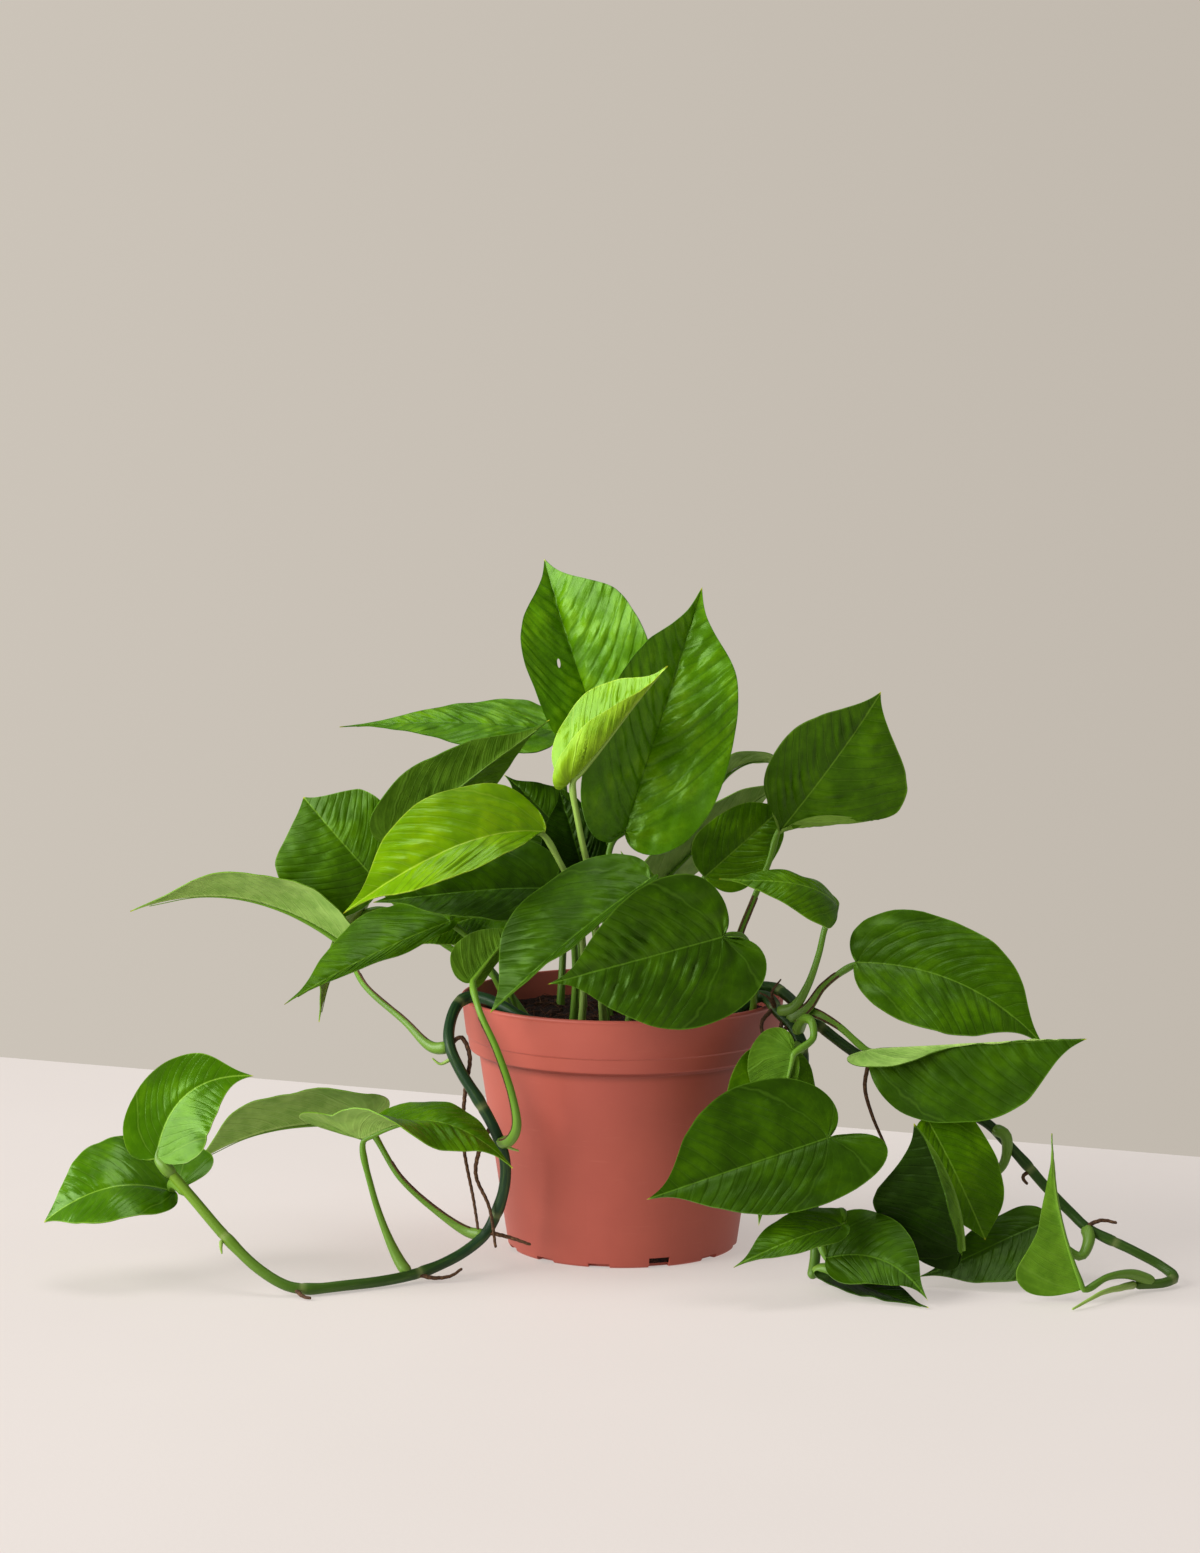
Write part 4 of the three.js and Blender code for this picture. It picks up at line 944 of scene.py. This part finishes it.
# The greens of the lower sides: the flesh where it is deepest and lightest, and the rib
PALES = {
    # This lower side is a lighter copy of the pale one, for undersides that lie in shade: painted light
    "silver": dict(deep=(108, 148, 56), light=(152, 187, 92), rib=(178, 207, 116)),
    "pale": dict(deep=(82, 118, 26), light=(122, 156, 60), rib=(152, 184, 92)),
    "dull": dict(deep=(60, 98, 7), light=(94, 136, 26), rib=(128, 170, 58)),
    "lime": dict(deep=(104, 148, 4), light=(146, 186, 34), rib=(180, 208, 84), gloss=0.32),
}

UPPER_SIDES = {name: upper_side("leaf_upper_" + name, **greens) for name, greens in GREENS.items()}
LOWER_SIDES = {name: lower_side("leaf_lower_" + name, **greens) for name, greens in PALES.items()}
STALK_SKIN = stem_skin("stalk", rgb(108, 144, 52), rgb(92, 136, 26), rgb(116, 160, 40), rgb(54, 88, 14))
YOUNG_STALK_SKIN = stem_skin(
    "young_stalk", rgb(124, 150, 68), rgb(142, 174, 76), rgb(156, 192, 84), rgb(100, 132, 48))
VINE_SKINS = {
    "left": vine_skin("vine_left", rgb(28, 56, 30), rgb(62, 96, 16), rgb(116, 154, 40)),
    "right": vine_skin("vine_right", rgb(30, 56, 14), rgb(42, 74, 12), rgb(66, 98, 22)),
    "middle": vine_skin("vine_middle", rgb(34, 62, 24), rgb(54, 88, 28), rgb(88, 124, 42)),
}
ROOT_BARK = root_bark()


# The leaves

def side_vein_at(share_x, share_y):
    """Which side vein passes a flat place. Whole numbers are veins, and below 0 they fan into the lobe."""
    start = share_x - 0.2 * share_y - 0.22 * share_y ** 2
    on_rib = VEIN_COUNT * np.clip(start, 0, 1) ** 0.92
    fan = np.minimum(start, 0) / np.maximum(share_y, 0.02) * 2.2
    return np.where(start >= 0, on_rib, fan)


def blade_piece(name, leaf, form, pucker, seed):
    """The blade as a sheet with no thickness, its edge nicked and its flesh puckered."""
    lobe_rows, flank_rows = BLADE_ROWS
    rows = lobe_rows + flank_rows
    shares = np.concatenate([
        np.linspace(0, LOBE_SHARE, lobe_rows + 1),
        LOBE_SHARE + (1 - LOBE_SHARE) * (np.arange(1, flank_rows + 1) / flank_rows) ** 0.8])
    edges = np.array([
        outline(shares, *(leaf[key][half] for key in ("lobe", "peak", "full", "slim")), leaf["drip"])
        for half in (0, 1)])
    flat = {}

    def surface(u, v):
        row = np.rint(u * rows).astype(int)
        across = 2 * v - 1
        half = np.where(across >= 0, 0, 1)
        edge = edges[half, row]
        nick = 1 + NICK_SHARE * rough(np.column_stack([shares[row] * 40, half * 9, 0 * u]), 2.2, seed)
        stem = shares[row] ** 2.5
        reach = np.abs(across)
        x = stem + (edge[:, 0] - stem) * reach
        y = edge[:, 1] * np.sign(across) * reach * nick * np.array(leaf["half"], float)[half]
        vein = side_vein_at(x, edge[:, 1] * reach)
        flat.update(x=x, y=y, reach=reach, vein=vein, half=half)
        return form.at(x * form.length, y), (vein, across), (x * form.length / 10, y / 10)

    piece = grid(name, rows, BLADE_COLUMNS, surface)
    normals = values_of(piece.data.vertex_normals, "vector", per_row=3)
    lift = relief(form.length, pucker, seed, **flat)
    move_corners(piece.data, corners_of(piece.data) + normals * lift[:, None] * MM)
    merge(piece, 0.02)
    return piece


def relief(length, pucker, seed, x, y, reach, vein, half):
    """How far each place on a blade stands out, in millimetres. Seeds next to the leaf's own give each kind
    of lump its own noise."""
    places = np.column_stack([x * length, y, np.zeros(len(x))])
    inner = np.sin(math.pi * np.clip(reach * 1.04, 0, 1)) ** 0.7
    fade = smooth_step(1.0, 0.7, x)
    dome = 0.5 - 0.5 * np.cos(2 * math.pi * vein)
    lumps = rough(np.column_stack([vein * 9, np.abs(y) * 0.65, 40.0 * half]), 4.2, seed)
    swell = smooth_step(-0.5, 0.5, rough(places, 20, seed + 5))
    lift = pucker * inner * fade * (dome * (0.05 + 0.13 * swell) + (0.5 + 0.7 * swell) * lumps - 0.15)
    lift -= RIB_GROOVE * bell(y, RIB_GROOVE_WIDTH) * fade * smooth_step(0, 0.05, x + 0.02)
    lift += 0.9 * rough(places, 24, seed + 1) * smooth_step(0.1, 0.6, reach) * fade
    lift += 0.8 * rough(places, 8, seed + 2) * reach ** 5 * fade
    return lift


def cut_slit(blade, place, size, tilt):
    """A small torn slit right through a blade."""
    deselect()
    bpy.ops.mesh.primitive_uv_sphere_add(
        segments=16, ring_count=8, location=[c * MM for c in place],
        rotation=(0, math.radians(tilt), 0), scale=[c * MM for c in size])
    cut(blade, bpy.context.object)


def stalk_route(leaf, form):
    """The stalk's line up to the blade and on under its midrib, and its length up to the blade."""
    under = [form.at(share * form.length, 0, -0.6 - 0.85 * STALK_NECK_RADIUS * (1 - share)).reshape(3)
             for share in (0.0, 0.06, 0.14, 0.3, 0.5, 0.7, RIB_REACH)]
    route = Route([*leaf["stalk"], *under], form.up, from_end=True)
    return route, route.length - RIB_REACH * form.length


def stalk_radius(leaf, distance, neck):
    """The radius of a stalk below its leaf, wider where it sheathes what it grows from."""
    stalk = STALK_RADIUS + (STALK_NECK_RADIUS - STALK_RADIUS) * np.clip(distance / neck, 0, 1)
    return stalk + (SHEATH_ON_VINE if "vine" in leaf else SHEATH_IN_SOIL) * bell(distance, SHEATH_LENGTH)


def stalk_piece(name, leaf, form):
    """The stalk, with a channel along its upper side, and the rib that it becomes under the blade."""
    route, neck = stalk_route(leaf, form)

    def radius(distance):
        knuckle = 0.3 * bell(distance - neck + 5, 4)
        past = np.clip((distance - neck) / (route.length - neck), 0, 1)
        return (stalk_radius(leaf, distance, neck) + knuckle) * (1 - past) ** 1.8 + RIB_TIP_RADIUS * past

    def section(distance, angle):
        turned = np.abs((angle + math.pi) % (2 * math.pi) - math.pi)
        channel = bell(turned, 0.45) - 0.6 * bell(turned - 0.8, 0.3)
        return 1 - 0.2 * channel * smooth_step(neck, neck - 12, distance)

    return tube(name, route, radius, STALK_SIDES, 1.6, section)


def make_leaf(name, leaf, seed):
    upper, lower, pucker = leaf["looks"]
    form = Blade(leaf)
    blade = blade_piece(name, leaf, form, pucker, seed)
    stalk_skin = YOUNG_STALK_SKIN if upper == "young" else STALK_SKIN
    for material in (UPPER_SIDES[upper], LOWER_SIDES[lower], stalk_skin):
        blade.data.materials.append(material)
    apply(
        blade, "SOLIDIFY", thickness=BLADE_THICKNESS * MM, offset=0, material_offset=1, material_offset_rim=0)
    if name in SLITS:
        cut_slit(blade, *SLITS[name])
    stalk = stalk_piece(name + "_stalk", leaf, form)
    stalk.data.materials.append(stalk_skin)
    finish_piece(join([blade, stalk]), smooth_to=60, node="leaf_" + name)


def make_dry_margins():
    """The papery brown edges along the sheaths of some stalks."""
    strips = []
    for name, (start, end) in DRY_MARGINS.items():
        route, neck = stalk_route(LEAVES[name], Blade(LEAVES[name]))
        distance = np.linspace(start, end, 16) * neck
        centre, side, other = route.at(distance)
        for turn in (-MARGIN_TURN, MARGIN_TURN):
            way = side * math.cos(turn) + other * math.sin(turn)
            ripple = 0.12 * rough(centre, 3, len(strips))
            reach = stalk_radius(LEAVES[name], distance, neck) * 0.95 + ripple
            edge = Route(centre + way * reach[:, None])
            girth = edge.taper(MARGIN_RADIUS, MARGIN_RADIUS)
            strips.append(tube(f"margin_{len(strips)}", edge, girth, 6, 2))
    finish_piece(join(strips, "dry_margins"), ROOT_BARK)


def make_rolled_leaf():
    def furl(distance, angle):
        return 1 + 0.16 * np.cos(angle + distance / 5) ** 3

    route = Route(ROLLED_LEAF)
    girth = route.taper(ROLLED_LEAF_RADIUS, 0.25 * ROLLED_LEAF_RADIUS)
    piece = tube("rolled_tip", route, girth, 16, 1.0, furl)
    finish_piece(piece, YOUNG_STALK_SKIN, node="leaf_rolled_tip")


# The vines, their aerial roots and the stubs at their nodes

def make_vine(name, vine):
    route = Route(vine["line"])
    nodes = [share * route.length for share in vine["nodes"]]

    def radius(distance):
        girth = VINE_RADIUS * vine["girth"] * (1.06 - 0.16 * distance / route.length)
        for node in nodes:
            girth = girth * (1 + NODE_SWELLING * bell(distance - node, NODE_LENGTH))
            girth = girth * (1 - 0.09 * bell(distance - node - SCAR_RING, 0.9))
        return girth

    def section(distance, angle):
        twist = distance / 60
        return 1 + 0.035 * np.cos(5 * angle + twist) + 0.02 * np.cos(9 * angle - twist)

    piece = tube("vine_" + name + "_stem", route, radius, VINE_SIDES, 1.4, section)
    mark_rings(piece, route, nodes)
    finish_piece(piece, VINE_SKINS[name], node="vine_" + name)
    make_roots("vine_" + name + "_roots", vine["roots"])


def mark_rings(piece, route, nodes):
    """An attribute that is 1 at the scar ring of each node and fades beside it."""
    mesh = piece.data
    along = np.zeros(len(mesh.vertices))
    share = values_of(mesh.uv_layers["pattern"].data, "uv", per_row=2)[:, 0]
    along[values_of(mesh.loops, "vertex_index", int)] = share * route.length
    ring = sum(bell(along - node - SCAR_RING, 1.3) for node in nodes)
    attribute = mesh.attributes.new("ring", "FLOAT", "POINT")
    attribute.data.foreach_set("value", np.clip(ring, 0, 1))


def make_roots(name, lines):
    def wobble(distance, angle):
        return 1 + 0.12 * np.sin(distance * 1.9) * np.cos(angle)

    roots = []
    for line in lines:
        route = Route(line)
        girth = route.taper(1.3 * ROOT_RADIUS, 0.8 * ROOT_RADIUS)
        roots.append(tube(name, route, girth, ROOT_SIDES, 1.2, wobble))
    finish_piece(join(roots, name), ROOT_BARK)


def make_stubs():
    """The hooked green stubs and dry scraps at the nodes."""
    for name, (radius, lines) in STUBS.items():
        routes = [Route(line) for line in lines]
        stubs = [tube(name, route, route.taper(radius, 0.3 * radius), 8, 0.8) for route in routes]
        finish_piece(join(stubs, name), ROOT_BARK if name == "dry_scraps" else YOUNG_STALK_SKIN)


# The pot and its soil

def pot_profile():
    inside = [
        (POT_LIP_RADIUS, POT_HEIGHT), (POT_BAND_RADIUS, POT_BAND_TOP), (POT_BAND_FOOT_RADIUS, POT_BAND_FOOT),
        (POT_BODY_RADIUS, POT_SHOULDER), (POT_BASE_RADIUS, POT_WALL)]
    return rounded([
        (0, 0), (POT_BASE_RADIUS - 1, 0), (POT_BASE_RADIUS, 1), (POT_BODY_RADIUS, POT_SHOULDER),
        (POT_BAND_FOOT_RADIUS, POT_BAND_FOOT), (POT_BAND_RADIUS - POT_GROOVE, POT_BAND_TOP - 0.6),
        (POT_BAND_RADIUS, POT_BAND_TOP), (POT_LIP_RADIUS, POT_HEIGHT - 2), (POT_RIM_RADIUS, POT_HEIGHT - 1),
        (POT_RIM_RADIUS - 0.7, POT_HEIGHT), *((radius - POT_WALL, height) for radius, height in inside),
        (0, POT_WALL)], 0.7)


def make_pot():
    piece = lathe("pot", pot_profile(), POT_SIDES)
    cutters = []
    for slot in range(DRAIN_SLOTS):
        height = DRAIN_SLOT_HEIGHTS[slot % len(DRAIN_SLOT_HEIGHTS)]
        turn = math.radians(FIRST_DRAIN_SLOT + 360 / DRAIN_SLOTS * slot)
        place = (POT_BASE_RADIUS * math.cos(turn), POT_BASE_RADIUS * math.sin(turn), 0)
        size = (DRAIN_SLOT_DEPTH, DRAIN_SLOT_WIDTH, 2 * height)
        deselect()
        bpy.ops.mesh.primitive_cube_add(
            size=1, location=[c * MM for c in place], rotation=(0, 0, turn), scale=[c * MM for c in size])
        cutters.append(bpy.context.object)
    cut(piece, join(cutters))
    piece.data.materials.clear()
    finish_piece(piece, pot_plastic(), 35, "nursery_pot")


def soil_radius(height):
    """The soil's edge at a height, a gap inside the pot's wall."""
    walls = [(POT_WALL, POT_BASE_RADIUS), (POT_SHOULDER, POT_BODY_RADIUS),
             (POT_BAND_FOOT, POT_BAND_FOOT_RADIUS), (POT_BAND_TOP, POT_BAND_RADIUS),
             (POT_HEIGHT, POT_LIP_RADIUS)]
    return np.interp(height, *zip(*walls)) - POT_WALL - SOIL_GAP


def soil_height(x, y):
    """The soil's lumpy top."""
    flat = np.column_stack([x, y, np.zeros_like(x)])
    return SOIL_LEVEL + 1.3 * rough(flat, 22, 3) + 1.1 * rough(flat, 7, 4) + 0.7 * rough(flat, 2.6, 5)


def make_soil():
    floor = POT_WALL + SOIL_GAP
    side = [(soil_radius(height), height) for height in (floor, POT_SHOULDER, POT_BAND_FOOT, POT_BAND_TOP)]
    top = [(radius, SOIL_LEVEL) for radius in np.linspace(soil_radius(SOIL_LEVEL), 0, SOIL_RINGS)]

    def lift(places):
        on_top = places[:, 2] > SOIL_LEVEL - 0.01
        places[:, 2] = np.where(on_top, soil_height(places[:, 0], places[:, 1]), places[:, 2])
        return places

    piece = lathe("soil_bed", [(0, floor), *side, *top], SOIL_SIDES, lift)
    peat = earth("peat", rgb(12, 6, 5), rgb(34, 19, 14), rgb(84, 53, 39), 260)
    finish_piece(piece, peat, 80, "soil")
    make_crumbs()
    make_strands()


def spot_on_soil(rng):
    reach = soil_radius(SOIL_LEVEL) * math.sqrt(rng.random()) * 0.97
    turn = rng.random() * 2 * math.pi
    x, y = reach * math.cos(turn), reach * math.sin(turn)
    return np.array([x, y, soil_height(np.array([x]), np.array([y]))[0]])


def make_crumbs():
    """Crumbs of peat and bark that lie half sunk in the top of the soil."""
    rng = random.Random(11)
    deselect()
    bpy.ops.mesh.primitive_ico_sphere_add(subdivisions=1, radius=1)
    crumb = bpy.context.object
    shape = corners_of(crumb.data)
    crumbs = []
    for index in range(CRUMBS):
        size = rng.uniform(*CRUMB_SIZES)
        stretch = np.array([rng.uniform(0.7, 1.5), rng.uniform(0.6, 1.1), rng.uniform(0.4, 0.9)])
        turn = rng.random() * 2 * math.pi
        cos, sin = math.cos(turn), math.sin(turn)
        form = shape * (1 + 0.35 * rough(shape, 0.8, index)[:, None]) * stretch * size
        form = form @ np.array([[cos, sin, 0], [-sin, cos, 0], [0, 0, 1]])
        piece = crumb.copy()
        piece.data = crumb.data.copy()
        bpy.context.collection.objects.link(piece)
        move_corners(piece.data, (form + spot_on_soil(rng)) * MM)
        crumbs.append(piece)
    bpy.data.objects.remove(crumb)
    bark = earth("crumb", rgb(24, 13, 9), rgb(60, 35, 25), rgb(116, 78, 56), 420)
    finish_piece(join(crumbs, "soil_crumbs"), bark, 70)


def make_strands():
    """Short strands of coir, bent over the top of the soil."""
    rng = random.Random(5)
    strands = []
    for _ in range(STRANDS):
        start = spot_on_soil(rng)
        turn = rng.random() * 2 * math.pi
        length = rng.uniform(*STRAND_LENGTHS)
        way = np.array([math.cos(turn), math.sin(turn), 0]) * length / 2
        middle = start + way + np.array([rng.uniform(-2, 2), rng.uniform(-2, 2), rng.uniform(0.6, 3)])
        end = start + 2 * way + np.array([0, 0, rng.uniform(-0.5, 2.0)])
        if math.hypot(end[0], end[1]) > soil_radius(SOIL_LEVEL) - 1:
            continue
        radius = rng.uniform(*STRAND_RADII)
        route = Route([start - [0, 0, 0.6], middle, end])
        strands.append(tube("strand", route, route.taper(radius, radius), 4, 2.5))
    finish_piece(join(strands, "soil_fibres"), coir(), smooth_to=None)


# The plain studio: camera, floor, light and what is seen behind

CAMERA_PLACE = (-10.6, -1890, 440)
CAMERA_DOWN = math.radians(6.6)
SENSOR = 36

# The picture's width, height and distance from the lens, in its own steps, and the two places in it where
# the floor's back edge meets its sides
PICTURE = (1200, 1553)
PICTURE_DEPTH = 4082
BACK_EDGE_LEFT = (0, 1057)
BACK_EDGE_RIGHT = (1200, 1157)

# The floor's size, and the light that it gives off, so that shadows on it stay pale
FLOOR_SIZE = (9000, 6000)
FLOOR_GLOW = rgb(233, 224, 218)
FLOOR_GLOW_STRENGTH = 0.52

# What is seen behind, from left to right over this reach of the view, and the light that comes from all round
BACK_LEFT = rgb(204, 196, 185)
BACK_RIGHT = rgb(193, 185, 174)
BACK_REACH = 0.16
ROUND_LIGHT = (1.0, 0.98, 0.96, 1)
ROUND_LIGHT_STRENGTH = 0.22

# Each soft light: its place, the place that it points at, its width and height, and its power in watts
LIGHTS = {
    "window": ((-3450, -1350, 1550), (0, 0, 120), (3600, 3000), 262),
    "ceiling": ((-100, -100, 2700), (0, 0, 0), (1300, 1300), 19),
    "fill": ((2400, -2000, 900), (0, 0, 120), (2000, 2000), 2),
}


def make_camera():
    deselect()
    bpy.ops.object.camera_add(
        location=[c * MM for c in CAMERA_PLACE], rotation=(math.pi / 2 - CAMERA_DOWN, 0, 0))
    camera = bpy.context.object
    camera.data.sensor_width = SENSOR
    camera.data.lens = SENSOR * PICTURE_DEPTH / PICTURE[1]
    camera.data.clip_end = 50
    bpy.context.scene.camera = camera


def on_floor(spot):
    """The place on the floor that a picture place shows, in millimetres."""
    across = (spot[0] - PICTURE[0] / 2) / PICTURE_DEPTH
    up = (PICTURE[1] / 2 - spot[1]) / PICTURE_DEPTH
    forward = math.cos(CAMERA_DOWN) + up * math.sin(CAMERA_DOWN)
    drop = math.sin(CAMERA_DOWN) - up * math.cos(CAMERA_DOWN)
    reach = CAMERA_PLACE[2] / drop
    return np.array([CAMERA_PLACE[0] + across * reach, CAMERA_PLACE[1] + forward * reach, 0])


def make_floor():
    left, right = on_floor(BACK_EDGE_LEFT), on_floor(BACK_EDGE_RIGHT)
    edge = unit(right - left)
    forward = np.array([edge[1], -edge[0], 0])
    deselect()
    bpy.ops.mesh.primitive_plane_add(size=1)
    floor = bpy.context.object
    floor.name = floor.data.name = "floor"
    flat = corners_of(floor.data)
    width, depth = FLOOR_SIZE
    places = left + flat[:, :1] * width * edge + (0.5 - flat[:, 1:2]) * depth * forward
    move_corners(floor.data, places * MM)
    finish = Finish("floor", 0.6, 0.15)
    tone = finish.noise(finish.place(), 3.0, 3, 0.6)
    colour = finish.ramp(tone, (0.3, rgb(166, 159, 154)), (0.7, rgb(170, 163, 158)))
    grain = finish.bump(finish.noise(finish.place(), 400.0, 2), 0.05)
    floor.data.materials.append(finish.set(
        base_color=colour, normal=grain, emission_color=FLOOR_GLOW, emission_strength=FLOOR_GLOW_STRENGTH))


def make_surroundings():
    """A plain warm grey all round, a little darker to the right, and dimmer as light than it looks."""
    world = bpy.data.worlds.new("studio")
    bpy.context.scene.world = world
    world.use_nodes = True
    world.node_tree.nodes.clear()
    sky = Nodes(world.node_tree)
    rightward = sky.add("SeparateXYZ", {0: sky.add("TexCoord").outputs["Generated"]}).outputs[0]
    shade = sky.span(rightward, -BACK_REACH, BACK_REACH, smooth=False)
    seen = sky.add("Background", {"Color": sky.ramp(shade, (0, BACK_LEFT), (1, BACK_RIGHT))})
    light = sky.add("Background", {"Color": ROUND_LIGHT, "Strength": ROUND_LIGHT_STRENGTH})
    is_seen = sky.add("LightPath").outputs["Is Camera Ray"]
    choice = sky.add("MixShader", {0: is_seen, 1: light.outputs[0], 2: seen.outputs[0]})
    sky.add("OutputWorld", {0: choice.outputs[0]})


def make_lights():
    for name, (place, target, size, power) in LIGHTS.items():
        deselect()
        bpy.ops.object.light_add(type="AREA", location=[c * MM for c in place])
        lamp = bpy.context.object
        lamp.name = name
        lamp.data.shape = "RECTANGLE"
        lamp.data.size, lamp.data.size_y = (side * MM for side in size)
        lamp.data.energy = power
        way = Vector(target) - Vector(place)
        lamp.rotation_euler = way.to_track_quat("-Z", "Y").to_euler()


make_camera()
make_floor()
make_surroundings()
make_lights()
bpy.context.scene.view_settings.view_transform = "Standard"

make_pot()
make_soil()
for vine_name, vine in VINES.items():
    make_vine(vine_name, vine)
for number, (leaf_name, leaf) in enumerate(LEAVES.items()):
    make_leaf(leaf_name, leaf, number + 1)
make_rolled_leaf()
make_dry_margins()
make_stubs()
